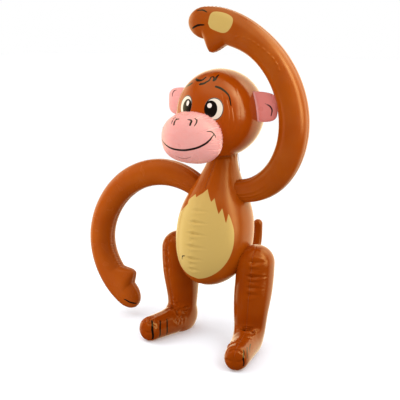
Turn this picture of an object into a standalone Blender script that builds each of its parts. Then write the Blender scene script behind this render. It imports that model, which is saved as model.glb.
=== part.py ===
"""An inflatable vinyl monkey that stands on its feet, one arm curled over its head.

Every piece is a sealed, blown-up shape of thin vinyl, welded to its neighbours, and is drawn as
one closed solid. The monkey faces -Y, its left side is at +X, and its soles are on the ground at
the lowest point. Sizes are in metres and angles in degrees.
"""
import math

import bmesh
import bpy
from mathutils import Matrix, Vector

# Welded neighbours keep this much apart.
GAP = 0.0003

# Legs: boots whose seam runs down the shin, round the toes and up the back.
LEG_HEIGHT = 0.191
THIGH_LENGTH = 0.051
THIGH_RADIUS = 0.032
THIGH_WIDTH = 0.067
ANKLE_DEPTH = 0.051
ANKLE_WIDTH = 0.058
CALF_FULLNESS = 0.004
CALF_SHARE = 0.33
CALF_SPREAD_SHARE = 0.33
INSTEP_FULLNESS = 0.003
INSTEP_SHARE = 0.66
INSTEP_SPREAD_SHARE = 0.12
KNEE_FORWARD = 0.006
INSTEP_BEND = 0.029
FOOT_LENGTH = 0.126
FOOT_HEIGHT = 0.045
FOOT_WIDTH = 0.053
TOE_WIDTH = 0.041
TOE_POWER = 2.6
HEEL_CORNER = 0.017
HEEL_SPREAD_SHARE = 0.08
THIGH_SHARE = 0.30
ANKLE_SHARE = 0.52
BALL_SHARE = 0.85
SOLE_FLAT = 0.003
HIP_SPREAD = 0.082
LEGS_BACK = 0.0115
TOE_OUT_LEFT = 17.0
TOE_OUT_RIGHT = 9.0
STRIDE_LEFT = 0.018
STRIDE_RIGHT = 0.002
FOOT_INWARD_LEFT = 0.0105
FOOT_INWARD_RIGHT = 0.003

# Torso: an egg of round sections, leaning back from its seat to its neck.
TORSO_LENGTH = 0.2405
TORSO_SEAT = 0.111
TORSO_LEAN = 11.0
BELLY_RADIUS = 0.069
BELLY_RISE = 0.090
SEAT_POWER = 2.1
SHOULDER_POWER = 1.2
NECK_RADIUS = 0.024
SEAT_FORWARD = 0.017
SEAT_TUCK = 0.013

# Head: a ball, set a little ahead of the neck.
HEAD_RADIUS = 0.0762
HEAD_FORWARD = 0.0125
NECK_SUNK = 0.010

# Muzzle: a pillow on the front of the head.
MUZZLE_WIDTH = 0.112
MUZZLE_HEIGHT = 0.085
MUZZLE_DEPTH = 0.076
MUZZLE_STANDOUT = 0.0545
MUZZLE_DROP = 21.0
MUZZLE_POWERS = (2.5, 2.1)

# Ears: flat pads on the head's side seams.
EAR_LENGTH = 0.036
EAR_HEIGHT = 0.050
EAR_THICKNESS = 0.012
EAR_RISE = 0.015
EAR_ROOT = 0.010
EAR_OUTLINE_POWER = 4.0
EAR_EDGE_POWER = 4.0

# Arms: one cut shape, curled up on the left and down on the right. Headings give the direction
# of the arm's centre line, in degrees above straight out, at shares of its length.
ARM_LENGTH = 0.476
ARM_ROOT_SHARE_LEFT = 0.718
ARM_ROOT_SHARE_RIGHT = 0.675
ARM_ROOT_INSET_LEFT = 0.013
ARM_ROOT_INSET_RIGHT = 0.017
SHOULDER_RADIUS = 0.019
UPPER_ARM_RADIUS = 0.024
ELBOW_RADIUS = 0.0253
WRIST_RADIUS = 0.0248
PALM_WIDTH = 0.059
KNUCKLES_WIDTH = 0.0565
FINGERS_WIDTH = 0.045
HAND_THICKNESS = 0.044
FINGERS_THICKNESS = 0.034
FINGER_ROUND = 0.030
FINGER_POWER = 2.3
UPPER_ARM_SHARE = 0.15
ELBOW_SHARE = 0.35
WRIST_SHARE = 0.68
HAND_SHARE = 0.8
PALM_SHARE = 0.85
KNUCKLE_SHARE = 0.92
THUMB_HEIGHT = 0.019
THUMB_SHARE = 0.891
THUMB_RISE_SHARE = 0.072
THUMB_FALL_SHARE = 0.034
LEFT_HEADINGS = ((0.0, -2), (0.2, 53), (0.4, 94), (0.6, 128), (0.8, 160), (1.0, 183))
LEFT_SWEPT_BACK = 2.0
RIGHT_HEADINGS = ((0.0, 37), (0.2, -4), (0.4, -40), (0.6, -74), (0.8, -120), (1.0, -151))
RIGHT_SWEPT_BACK = -4.0

# Tail: a thin tube that leaves the lower back and turns up.
TAIL_RADIUS = 0.009
TAIL_LENGTH = 0.170
TAIL_ROOT_SHARE = 0.17
TAIL_ROOT_INSET = 0.010
TAIL_HEADINGS = ((0.0, -22), (0.25, -14), (0.50, 8), (0.69, 66), (0.83, 87), (1.0, 92))

# Inflation valve, on the back below the shoulders.
VALVE_SHARE = 0.60
VALVE_FLANGE_RADIUS = 0.011
VALVE_FLANGE_HEIGHT = 0.0012
VALVE_SUNK = 0.003
VALVE_STEM_RADIUS = 0.0045
VALVE_STEM_HEIGHT = 0.005
VALVE_CAP_RADIUS = 0.006
VALVE_CAP_HEIGHT = 0.002

# Facets: how finely each round is divided, along it and around it.
ROUND_SIDES = 28
EGG_BANDS = 10
BALL_SIDES = 32
HEAD_BANDS = 18
MUZZLE_BANDS = 14
EAR_BANDS = 9
LIMB_SIDES = 16
ARM_STEPS = 60
LEG_STEPS = 40
INSTEP_STOPS = 5
TAIL_SIDES = 10
TAIL_STEPS = 36
VALVE_SIDES = 20
CREASE_ANGLE = 50

# Vinyls: red, green and blue from 0 to 1, then roughness.
BROWN = (0.38, 0.08, 0.008, 0.22)
PINK = (0.90, 0.45, 0.40, 0.25)
CLEAR = (0.75, 0.75, 0.72, 0.30)


def clear_scene():
    """Starts from nothing."""
    for item in list(bpy.data.objects):
        bpy.data.objects.remove(item, do_unlink=True)


def finish(name, red, green, blue, roughness):
    """A vinyl of the given colour and roughness."""
    made = bpy.data.materials.new(name)
    made.use_nodes = True
    shader = made.node_tree.nodes["Principled BSDF"]
    shader.inputs["Base Color"].default_value = (red, green, blue, 1.0)
    shader.inputs["Roughness"].default_value = roughness
    shader.inputs["Metallic"].default_value = 0.0
    return made


def eased(pairs, share):
    """Value at a share of a length, on a smooth curve through (share, value) pairs."""
    last = len(pairs) - 2
    step = max(i for i in range(last + 1) if i == 0 or pairs[i][0] <= share)
    before, low, high, after = (pairs[min(max(step + k, 0), last + 1)] for k in (-1, 0, 1, 2))
    span = high[0] - low[0]
    low_slope = (high[1] - before[1]) / (high[0] - before[0])
    high_slope = (after[1] - low[1]) / (after[0] - low[0])
    t = (share - low[0]) / span
    return (low[1] * (2 * t ** 3 - 3 * t ** 2 + 1) + high[1] * (3 * t ** 2 - 2 * t ** 3)
            + span * low_slope * (t ** 3 - 2 * t ** 2 + t) + span * high_slope * (t ** 3 - t ** 2))


def solid(name, rings, material, first_tip=None, last_tip=None, flat_sole=False):
    """Closed solid through equal rings; an end without a tip point is closed flat."""
    shape = bmesh.new()
    loops = [[shape.verts.new(point) for point in ring] for ring in rings]
    for low, high in zip(loops, loops[1:]):
        for i in range(len(low)):
            shape.faces.new((low[i - 1], low[i], high[i], high[i - 1]))
    for loop, tip in ((loops[0], first_tip), (loops[-1], last_tip)):
        if tip is None:
            shape.faces.new(loop)
            continue
        point = shape.verts.new(tip)
        for i in range(len(loop)):
            shape.faces.new((loop[i - 1], loop[i], point))
    if flat_sole:
        everything = shape.verts[:] + shape.edges[:] + shape.faces[:]
        bmesh.ops.bisect_plane(shape, geom=everything, plane_co=(0, 0, 0), plane_no=(0, 0, 1),
                               clear_inner=True)
        bmesh.ops.holes_fill(shape, edges=[edge for edge in shape.edges if edge.is_boundary])
    bmesh.ops.recalc_face_normals(shape, faces=shape.faces)
    mesh = bpy.data.meshes.new(name)
    shape.to_mesh(mesh)
    shape.free()
    mesh.shade_smooth()
    mesh.set_sharp_from_angle(angle=math.radians(CREASE_ANGLE))
    piece = bpy.data.objects.new(name, mesh)
    mesh.materials.append(material)
    bpy.context.collection.objects.link(piece)
    return piece


def cutter(piece):
    """Marks a piece that only shapes its neighbours."""
    piece.hide_render = True
    piece.display_type = "WIRE"
    return piece


def fitted(piece, *cutters):
    """Cuts a piece back to the faces of the neighbours that it is welded to."""
    for tool in cutters:
        cut = piece.modifiers.new("fit_" + tool.name, "BOOLEAN")
        cut.operation = "DIFFERENCE"
        cut.solver = "EXACT"
        cut.object = tool
    return piece


def torso_radius(rise):
    """Radius of the egg at a rise along its axis from the seat."""
    if rise < BELLY_RISE:
        return BELLY_RADIUS * (1 - (1 - rise / BELLY_RISE) ** SEAT_POWER) ** (1 / SEAT_POWER)
    share = (rise - BELLY_RISE) / (TORSO_LENGTH - BELLY_RISE)
    fall = math.cos(math.pi / 2 * share ** SHOULDER_POWER) ** 2
    return NECK_RADIUS + (BELLY_RADIUS - NECK_RADIUS) * fall


def torso_frame():
    """Place of the torso: its seat is the origin and its axis is Z."""
    place = Matrix.Translation((0, -SEAT_FORWARD, TORSO_SEAT))
    return place @ Matrix.Rotation(math.radians(-TORSO_LEAN), 4, "X")


def torso(name, material, grow=0.0):
    """The egg-shaped body and its neck, grown by a margin when it is a cutter."""
    place = torso_frame()
    rises = [BELLY_RISE * (1 - math.cos(math.pi / 2 * k / EGG_BANDS)) for k in range(1, EGG_BANDS)]
    rises += [BELLY_RISE + (TORSO_LENGTH - BELLY_RISE) * k / EGG_BANDS for k in range(EGG_BANDS + 1)]
    rings = []
    for rise in rises:
        radius = torso_radius(rise) + grow
        tuck = SEAT_TUCK * max(0.0, 1 - rise / BELLY_RISE) ** 2
        turns = [math.tau * i / ROUND_SIDES for i in range(ROUND_SIDES)]
        rings.append([place @ Vector((radius * math.cos(a), radius * math.sin(a) - tuck, rise))
                      for a in turns])
    return solid(name, rings, material, first_tip=place @ Vector((0, -SEAT_TUCK, -grow)))


def head_centre():
    """The ball's centre, above the neck's mouth and a little ahead of it."""
    mouth = torso_frame() @ Vector((0, 0, TORSO_LENGTH))
    return mouth + Vector((0, -HEAD_FORWARD, HEAD_RADIUS - NECK_SUNK))


def ball(name, material, centre, half_sizes, sides, bands, powers=(2.0, 2.0)):
    """A rounded pillow with poles at front and back; powers square its lower and upper outline."""
    rings = []
    for k in range(1, bands):
        tilt = math.pi * k / bands
        ring = []
        for i in range(sides):
            angle = math.tau * i / sides
            across, up = math.cos(angle), math.sin(angle)
            power = powers[0] if up < 0 else powers[1]
            reach = math.sin(tilt) / (abs(across) ** power + abs(up) ** power) ** (1 / power)
            ring.append(centre + Vector((half_sizes[0] * across * reach,
                                         -half_sizes[1] * math.cos(tilt),
                                         half_sizes[2] * up * reach)))
        rings.append(ring)
    front = centre - Vector((0, half_sizes[1], 0))
    return solid(name, rings, material, first_tip=front,
                 last_tip=centre + Vector((0, half_sizes[1], 0)))


def head(name, material, grow=0.0):
    """The ball of the head."""
    radius = HEAD_RADIUS + grow
    return ball(name, material, head_centre(), (radius, radius, radius), BALL_SIDES, HEAD_BANDS)


def muzzle(material):
    """The pink pillow that carries nose and mouth."""
    drop = math.radians(MUZZLE_DROP)
    reach = HEAD_RADIUS + MUZZLE_STANDOUT - MUZZLE_DEPTH / 2
    centre = head_centre() + Vector((0, -math.cos(drop) * reach, -math.sin(drop) * reach))
    halves = (MUZZLE_WIDTH / 2, MUZZLE_DEPTH / 2, MUZZLE_HEIGHT / 2)
    return ball("muzzle", material, centre, halves, BALL_SIDES, MUZZLE_BANDS, MUZZLE_POWERS)


def ear(name, material, side):
    """A flat pad that stands out sideways from the head, rounded at its far end."""
    root = math.sqrt(HEAD_RADIUS ** 2 - (EAR_HEIGHT / 2) ** 2) - EAR_ROOT
    centre = head_centre() + Vector((0, 0, EAR_RISE))
    length = HEAD_RADIUS + EAR_LENGTH - root
    rings = []
    for k in range(EAR_BANDS):
        share = math.sin(math.pi / 2 * k / EAR_BANDS)
        along = root + length * share
        tall = EAR_HEIGHT / 2 * (1 - share ** EAR_OUTLINE_POWER) ** (1 / EAR_OUTLINE_POWER)
        thick = EAR_THICKNESS / 2 * math.sqrt(1 - share ** EAR_EDGE_POWER)
        ring = []
        for i in range(LIMB_SIDES):
            angle = math.tau * i / LIMB_SIDES
            ring.append(centre + Vector((side * along, thick * math.sin(angle),
                                         tall * math.cos(angle))))
        rings.append(ring)
    return solid(name, rings, material, last_tip=centre + Vector((side * (root + length), 0, 0)))


def curled_line(length, headings, steps):
    """Points (out, up) along a centre line whose heading changes smoothly."""
    points = [(0.0, 0.0)]
    for k in range(steps):
        angle = math.radians(eased(headings, (k + 0.5) / steps))
        out, up = points[-1]
        points.append((out + math.cos(angle) * length / steps,
                       up + math.sin(angle) * length / steps))
    return points


def limb_rings(line, sizes, place, sides):
    """Rings square to a flat centre line. sizes gives the half widths on the line's left and
    right and the half thickness at a share of the line; place turns (out, up, across) to 3-D."""
    rings = []
    for k, (out, up) in enumerate(line):
        ahead = line[min(k + 1, len(line) - 1)]
        behind = line[max(k - 1, 0)]
        run = Vector((ahead[0] - behind[0], ahead[1] - behind[1])).normalized()
        left, right, thick = sizes(k / (len(line) - 1))
        ring = []
        for i in range(sides):
            angle = math.tau * i / sides
            wide = math.cos(angle) * (left if math.cos(angle) > 0 else right)
            ring.append(place(out - run.y * wide, up + run.x * wide, thick * math.sin(angle)))
        rings.append(ring)
    return rings


def rounded_end(share, length, round_length, power=2.0):
    """Factor that closes a limb's tip over its last round_length."""
    into = max(0.0, 1 - (1 - share) * length / round_length)
    return max(0.0, 1 - into ** power) ** (1 / power)


def hump(share, centre, spread):
    """A smooth bump of height 1 around a share of a limb."""
    return max(0.0, 1 - ((share - centre) / spread) ** 2) ** 1.5


def arm_sizes(share, inner_is_left, grow):
    """Half widths and thickness of an arm, with its thumb on the inner side."""
    widths = ((0.0, SHOULDER_RADIUS), (UPPER_ARM_SHARE, UPPER_ARM_RADIUS),
              (ELBOW_SHARE, ELBOW_RADIUS), (WRIST_SHARE, WRIST_RADIUS),
              (PALM_SHARE, PALM_WIDTH / 2), (KNUCKLE_SHARE, KNUCKLES_WIDTH / 2),
              (1.0, FINGERS_WIDTH / 2))
    thicknesses = ((0.0, SHOULDER_RADIUS), (ELBOW_SHARE, ELBOW_RADIUS),
                   (WRIST_SHARE, WRIST_RADIUS), (PALM_SHARE, HAND_THICKNESS / 2),
                   (1.0, FINGERS_THICKNESS / 2))
    close = rounded_end(share, ARM_LENGTH, FINGER_ROUND, FINGER_POWER)
    wide = eased(widths, share) * close + grow
    thick = eased(thicknesses, share) * close + grow
    spread = THUMB_RISE_SHARE if share < THUMB_SHARE else THUMB_FALL_SHARE
    thumb = THUMB_HEIGHT * hump(share, THUMB_SHARE, spread)
    return (wide + thumb, wide, thick) if inner_is_left else (wide, wide + thumb, thick)


def arm(name, material, side, root_share, root_inset, headings, swept_back, grow=0.0):
    """An arm in its own upright plane, from inside the torso's flank to the fingertips."""
    rise = TORSO_LENGTH * root_share
    root = torso_frame() @ Vector((side * (torso_radius(rise) - root_inset), 0, rise))
    turn = math.radians(swept_back)
    line = curled_line(ARM_LENGTH, headings, ARM_STEPS)
    curls_left = headings[-1][1] > headings[0][1]

    def place(out, up, across):
        return root + Vector((side * (out * math.cos(turn) - across * math.sin(turn)),
                              out * math.sin(turn) + across * math.cos(turn), up))

    rings = limb_rings(line, lambda share: arm_sizes(share, curls_left, grow), place, LIMB_SIDES)
    hand = int(ARM_STEPS * HAND_SHARE)
    return solid(name, rings[:hand:2] + rings[hand:-1], material, last_tip=place(*line[-1], 0))


def leg_line(steps, stride):
    """Centre line of a leg: down the thigh and shin, round the instep and out to the toes."""
    foot_up = FOOT_HEIGHT / 2 - SOLE_FLAT / 2
    stops = [(KNEE_FORWARD, LEG_HEIGHT)]
    stops.append((KNEE_FORWARD, LEG_HEIGHT - THIGH_LENGTH))
    stops.append((stride, foot_up + INSTEP_BEND + ANKLE_DEPTH / 2))
    for k in range(INSTEP_STOPS + 1):
        angle = math.pi / 2 * k / INSTEP_STOPS
        stops.append((stride + INSTEP_BEND - INSTEP_BEND * math.cos(angle),
                      foot_up + INSTEP_BEND - INSTEP_BEND * math.sin(angle)))
    stops.append((stride + FOOT_LENGTH - ANKLE_DEPTH / 2, foot_up))
    lengths = [0.0]
    for low, high in zip(stops, stops[1:]):
        lengths.append(lengths[-1] + math.dist(low, high))
    outs = tuple((length / lengths[-1], stop[0]) for length, stop in zip(lengths, stops))
    ups = tuple((length / lengths[-1], stop[1]) for length, stop in zip(lengths, stops))
    return [(eased(outs, k / steps), eased(ups, k / steps)) for k in range(steps + 1)]


def leg(name, material, side, toe_out, stride, inward):
    """A boot-shaped leg, its sole flat on the ground."""
    line = leg_line(LEG_STEPS, stride)
    length = sum(math.dist(low, high) for low, high in zip(line, line[1:]))
    toes_run = FOOT_LENGTH - ANKLE_DEPTH / 2 - INSTEP_BEND
    heel = 1 - (toes_run + INSTEP_BEND * math.pi / 4) / length
    depths = ((0.0, THIGH_RADIUS), (THIGH_SHARE, THIGH_RADIUS), (ANKLE_SHARE, ANKLE_DEPTH / 2),
              (heel, ANKLE_DEPTH / 2), (BALL_SHARE, FOOT_HEIGHT / 2), (1.0, FOOT_HEIGHT / 2))
    widths = ((0.0, THIGH_RADIUS), (THIGH_SHARE, THIGH_WIDTH / 2), (ANKLE_SHARE, ANKLE_WIDTH / 2),
              (heel, FOOT_WIDTH / 2), (1.0, TOE_WIDTH / 2))
    turn = math.radians(toe_out)

    def sizes(share):
        crown = rounded_end(1 - share, length, THIGH_RADIUS)
        toes = rounded_end(share, length, FOOT_HEIGHT / 2, TOE_POWER)
        depth = eased(depths, share) * crown * toes
        width = eased(widths, share) * crown * toes
        corner = HEEL_CORNER * hump(share, heel, HEEL_SPREAD_SHARE)
        calf = CALF_FULLNESS * hump(share, CALF_SHARE, CALF_SPREAD_SHARE)
        instep = INSTEP_FULLNESS * hump(share, INSTEP_SHARE, INSTEP_SPREAD_SHARE)
        return depth + instep, depth + corner + calf, width

    def place(out, up, across):
        outward = HIP_SPREAD - inward * (1 - up / LEG_HEIGHT)
        return Vector((side * (outward + out * math.sin(turn) + across * math.cos(turn)),
                       LEGS_BACK - out * math.cos(turn) + across * math.sin(turn), up))

    rings = limb_rings(line, sizes, place, LIMB_SIDES)
    return solid(name, rings[1:-1], material, first_tip=place(*line[0], 0),
                 last_tip=place(*line[-1], 0), flat_sole=True)


def tail(material):
    """A thin tube in the middle plane, from inside the torso's back to its rounded tip."""
    rise = TORSO_LENGTH * TAIL_ROOT_SHARE
    root = torso_frame() @ Vector((0, torso_radius(rise) - TAIL_ROOT_INSET, rise))
    line = curled_line(TAIL_LENGTH, TAIL_HEADINGS, TAIL_STEPS)

    def sizes(share):
        radius = TAIL_RADIUS * rounded_end(share, TAIL_LENGTH, TAIL_RADIUS)
        return radius, radius, radius

    def place(out, up, across):
        return root + Vector((across, out, up))

    rings = limb_rings(line, sizes, place, TAIL_SIDES)
    return solid("tail", rings[:-1], material, last_tip=place(*line[-1], 0))


def valve(material):
    """Flange, stem and plug of the inflation valve, turned about the back's own normal."""
    rise = TORSO_LENGTH * VALVE_SHARE
    base = Vector((0, torso_radius(rise), rise))
    slope = math.atan2(torso_radius(rise - GAP) - torso_radius(rise + GAP), 2 * GAP)
    turn = Matrix.Rotation(slope - math.pi / 2, 4, "X")
    place = torso_frame() @ Matrix.Translation(base) @ turn
    flange = VALVE_FLANGE_HEIGHT
    stem = flange + VALVE_STEM_HEIGHT
    profile = [(VALVE_FLANGE_RADIUS, -VALVE_SUNK), (VALVE_FLANGE_RADIUS, flange),
               (VALVE_STEM_RADIUS, flange), (VALVE_STEM_RADIUS, stem),
               (VALVE_CAP_RADIUS, stem), (VALVE_CAP_RADIUS, stem + VALVE_CAP_HEIGHT)]
    turns = [math.tau * i / VALVE_SIDES for i in range(VALVE_SIDES)]
    rings = [[place @ Vector((radius * math.cos(a), radius * math.sin(a), up)) for a in turns]
             for radius, up in profile]
    return solid("valve", rings, material)


def centre_on_ground(pieces):
    """Moves the figure so that its origin is under the middle of its outline, on the ground."""
    bpy.context.view_layer.update()
    state = bpy.context.evaluated_depsgraph_get()
    corners = [piece.evaluated_get(state).matrix_world @ Vector(corner)
               for piece in pieces for corner in piece.evaluated_get(state).bound_box]
    middle = [(min(c[axis] for c in corners) + max(c[axis] for c in corners)) / 2
              for axis in (0, 1)]
    lowest = min(corner.z for corner in corners)
    figure = bpy.data.objects.new("monkey", None)
    bpy.context.collection.objects.link(figure)
    for item in list(bpy.context.collection.objects):
        if item is not figure:
            item.parent = figure
    figure.location = (-middle[0], -middle[1], -lowest)


def main():
    clear_scene()
    brown = finish("brown_vinyl", *BROWN)
    pink = finish("pink_vinyl", *PINK)
    clear = finish("valve_vinyl", *CLEAR)
    torso_cut = cutter(torso("torso_cutter", brown, GAP))
    head_cut = cutter(head("head_cutter", brown, GAP))
    raised = (1, ARM_ROOT_SHARE_LEFT, ARM_ROOT_INSET_LEFT, LEFT_HEADINGS, LEFT_SWEPT_BACK)
    lowered = (-1, ARM_ROOT_SHARE_RIGHT, ARM_ROOT_INSET_RIGHT, RIGHT_HEADINGS, RIGHT_SWEPT_BACK)
    raised_cut = cutter(arm("arm_left_cutter", brown, *raised, grow=GAP))
    pieces = [
        head("head", brown),
        fitted(torso("torso", brown), head_cut),
        fitted(muzzle(pink), head_cut),
        fitted(ear("ear_left", pink, 1), head_cut, raised_cut),
        fitted(ear("ear_right", pink, -1), head_cut),
        fitted(arm("arm_left", brown, *raised), torso_cut),
        fitted(arm("arm_right", brown, *lowered), torso_cut),
        fitted(leg("leg_left", brown, 1, TOE_OUT_LEFT, STRIDE_LEFT, FOOT_INWARD_LEFT), torso_cut),
        fitted(leg("leg_right", brown, -1, TOE_OUT_RIGHT, STRIDE_RIGHT, FOOT_INWARD_RIGHT),
               torso_cut),
        fitted(tail(brown), torso_cut),
        fitted(valve(clear), torso_cut),
    ]
    centre_on_ground(pieces)


main()
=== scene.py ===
"""Looks of a blown-up vinyl monkey that stands on its feet, one arm curled over its head.

The real toy is cut from thin glossy sheet, brown for the body and pink for muzzle and ears. The cut
shapes are printed flat, welded together along their edges and blown up. So each edge is a weld line
that holds the sheet in, and short creases cross it wherever the shape bends. Every skin here is the
shape of its solid, drawn finely, then drawn in along its welds and creases, and its printed areas are
kept as distances on its points. Sizes are in metres, and printed shapes in millimetres or degrees.
"""

import math

import bpy
import numpy as np
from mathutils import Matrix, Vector


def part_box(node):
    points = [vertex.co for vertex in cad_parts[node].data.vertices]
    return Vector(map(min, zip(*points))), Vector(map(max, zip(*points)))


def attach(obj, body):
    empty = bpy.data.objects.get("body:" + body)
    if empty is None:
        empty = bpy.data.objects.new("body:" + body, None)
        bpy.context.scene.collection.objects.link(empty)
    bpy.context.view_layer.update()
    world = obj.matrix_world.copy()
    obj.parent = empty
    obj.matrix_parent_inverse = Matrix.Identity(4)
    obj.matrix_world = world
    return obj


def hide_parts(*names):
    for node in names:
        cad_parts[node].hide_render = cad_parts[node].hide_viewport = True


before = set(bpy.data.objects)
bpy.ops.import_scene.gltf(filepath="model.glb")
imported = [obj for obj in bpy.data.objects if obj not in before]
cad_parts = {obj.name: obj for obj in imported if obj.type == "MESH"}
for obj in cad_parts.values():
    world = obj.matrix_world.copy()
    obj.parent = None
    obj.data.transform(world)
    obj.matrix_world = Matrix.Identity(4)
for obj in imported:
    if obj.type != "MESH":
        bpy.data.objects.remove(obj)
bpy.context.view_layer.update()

MM = 0.001

# ---------------------------------------------------------------- sizes, as the solids have them
TORSO_LENGTH, TORSO_SEAT, TORSO_LEAN = 0.2405, 0.111, 11.0
BELLY_RADIUS, BELLY_RISE, NECK_RADIUS = 0.069, 0.090, 0.024
SEAT_POWER, SHOULDER_POWER, SEAT_FORWARD, SEAT_TUCK = 2.1, 1.2, 0.017, 0.013
HEAD_RADIUS, HEAD_FORWARD, NECK_SUNK = 0.0762, 0.0125, 0.010
MUZZLE_HALVES, MUZZLE_POWERS = (0.056, 0.038, 0.0425), (2.5, 2.1)
MUZZLE_STANDOUT, MUZZLE_DROP = 0.0545, 21.0
EAR_LENGTH, EAR_HEIGHT, EAR_THICKNESS = 0.036, 0.050, 0.012
EAR_RISE, EAR_ROOT, EAR_OUTLINE_POWER, EAR_EDGE_POWER = 0.015, 0.010, 4.0, 4.0
ARM_LENGTH = 0.476
ARM_WIDTHS = ((0.0, 0.019), (0.15, 0.024), (0.35, 0.0253), (0.68, 0.0248), (0.85, 0.0295),
              (0.92, 0.02825), (1.0, 0.0225))
ARM_THICKNESSES = ((0.0, 0.019), (0.35, 0.0253), (0.68, 0.0248), (0.85, 0.022), (1.0, 0.017))
FINGER_ROUND, FINGER_POWER = 0.030, 2.3
THUMB_HEIGHT, THUMB_SHARE, THUMB_RISE_SHARE, THUMB_FALL_SHARE = 0.019, 0.891, 0.072, 0.034
RAISED = {"side": 1, "root_share": 0.718, "root_inset": 0.013, "swept_back": 2.0, "headings": (
    (0.0, -2), (0.2, 53), (0.4, 94), (0.6, 128), (0.8, 160), (1.0, 183))}
LOWERED = {"side": -1, "root_share": 0.675, "root_inset": 0.017, "swept_back": -4.0, "headings": (
    (0.0, 37), (0.2, -4), (0.4, -40), (0.6, -74), (0.8, -120), (1.0, -151))}
LEG_HEIGHT, THIGH_LENGTH, THIGH_RADIUS, THIGH_WIDTH = 0.191, 0.051, 0.032, 0.067
ANKLE_DEPTH, ANKLE_WIDTH, KNEE_FORWARD, INSTEP_BEND = 0.051, 0.058, 0.006, 0.029
CALF_FULLNESS, CALF_SHARE, CALF_SPREAD_SHARE = 0.004, 0.33, 0.33
INSTEP_FULLNESS, INSTEP_SHARE, INSTEP_SPREAD_SHARE = 0.003, 0.66, 0.12
FOOT_LENGTH, FOOT_HEIGHT, FOOT_WIDTH, TOE_WIDTH, TOE_POWER = 0.126, 0.045, 0.053, 0.041, 2.6
HEEL_CORNER, HEEL_SPREAD_SHARE, THIGH_SHARE, ANKLE_SHARE, BALL_SHARE = 0.017, 0.08, 0.30, 0.52, 0.85
SOLE_FLAT, HIP_SPREAD, LEGS_BACK = 0.003, 0.082, 0.0115
LEFT_LEG = {"side": 1, "toe_out": 17.0, "stride": 0.018, "inward": 0.0105}
RIGHT_LEG = {"side": -1, "toe_out": 9.0, "stride": 0.002, "inward": 0.003}
TAIL_RADIUS, TAIL_LENGTH, TAIL_ROOT_SHARE, TAIL_ROOT_INSET = 0.009, 0.170, 0.17, 0.010
TAIL_HEADINGS = ((0.0, -22), (0.25, -14), (0.50, 8), (0.69, 66), (0.83, 87), (1.0, 92))
VALVE_SHARE, VALVE_SUNK = 0.60, 0.003
VALVE_FLANGE, VALVE_STEM, VALVE_CAP = (0.011, 0.0012), (0.0045, 0.005), (0.006, 0.002)

# ---------------------------------------------------------------- the camera's place
# Degrees round from the figure's front and up, the point looked at, from the middle of the head,
# how far off the camera is, and its lens and the width of its film in millimetres.
PHOTO_TURN, PHOTO_TILT = 35.0, 13.0
PHOTO_AIM, PHOTO_DISTANCE = (-0.02169, -0.03157, -0.15228), 1.3114
PHOTO_LENS, PHOTO_FILM = 66.87, 36.0


# ---------------------------------------------------------------- shapes shared by several pieces
def eased(pairs, share):
    """Value at a share of a length, on a smooth curve through (share, value) pairs."""
    stops, values = np.array(pairs, float).T
    index = np.arange(len(stops))
    more, less = np.minimum(index + 1, index[-1]), np.maximum(index - 1, 0)
    slopes = (values[more] - values[less]) / (stops[more] - stops[less])
    step = np.clip(np.searchsorted(stops, share, side="right") - 1, 0, len(stops) - 2)
    span = stops[step + 1] - stops[step]
    t = (share - stops[step]) / span
    return (values[step] * (2 * t ** 3 - 3 * t ** 2 + 1) + values[step + 1] * (3 * t ** 2 - 2 * t ** 3)
            + span * slopes[step] * (t ** 3 - 2 * t ** 2 + t)
            + span * slopes[step + 1] * (t ** 3 - t ** 2))


def hump(share, centre, rise, fall, power=1.5):
    """A smooth bump of height 1 with its own spread before and after its centre."""
    off = (share - centre) / np.where(share < centre, rise, fall)
    return np.maximum(0, 1 - off ** 2) ** power


def rounded_end(share, length, round_length, power=2.0):
    """Factor that closes a limb's tip over its last round_length."""
    into = np.maximum(0, 1 - (1 - share) * length / round_length)
    return np.maximum(0, 1 - into ** power) ** (1 / power)


def smooth_path(stops, per_span=8):
    """A smooth line through the given points."""
    stops = np.array(stops, float)
    shares = np.linspace(0, 1, len(stops))
    fine = np.linspace(0, 1, (len(stops) - 1) * per_span + 1)
    return np.stack([eased(list(zip(shares, column)), fine) for column in stops.T], 1)


def torso_radius(rise):
    """Radius of the egg at a rise along its axis from the seat."""
    rise = np.asarray(rise, float)
    low = np.clip(1 - rise / BELLY_RISE, 0, 1)
    share = np.clip((rise - BELLY_RISE) / (TORSO_LENGTH - BELLY_RISE), 0, 1)
    fall = np.cos(np.pi / 2 * share ** SHOULDER_POWER) ** 2
    return np.where(rise < BELLY_RISE, BELLY_RADIUS * (1 - low ** SEAT_POWER) ** (1 / SEAT_POWER),
                    NECK_RADIUS + (BELLY_RADIUS - NECK_RADIUS) * fall)


def tipped(angle):
    """Matrix that tips points about the line across the figure."""
    cos, sin = math.cos(angle), math.sin(angle)
    return np.array([[1, 0, 0], [0, cos, -sin], [0, sin, cos]])


LEANING = tipped(math.radians(-TORSO_LEAN))
SEAT = np.array([0, -SEAT_FORWARD, TORSO_SEAT])
HEAD_CENTRE = np.array(sum(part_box("head"), Vector()) / 2)
NECK_MOUTH = LEANING @ (0, 0, TORSO_LENGTH) + SEAT
HOME = HEAD_CENTRE - NECK_MOUTH - (0, -HEAD_FORWARD, HEAD_RADIUS - NECK_SUNK)


def from_torso(points):
    """Places points given in the torso's own frame, its seat at the origin and its axis up."""
    return np.asarray(points) @ LEANING.T + SEAT + HOME


def on_torso(turn, rise, proud=0.0):
    """A point on the torso: degrees round from its front towards its left, and rise."""
    turn, radius = np.radians(turn), torso_radius(rise) + proud
    tuck = SEAT_TUCK * np.maximum(0, 1 - rise / BELLY_RISE) ** 2
    return from_torso(np.stack([radius * np.sin(turn), -radius * np.cos(turn) - tuck,
                                rise + 0 * turn], -1))


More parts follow.
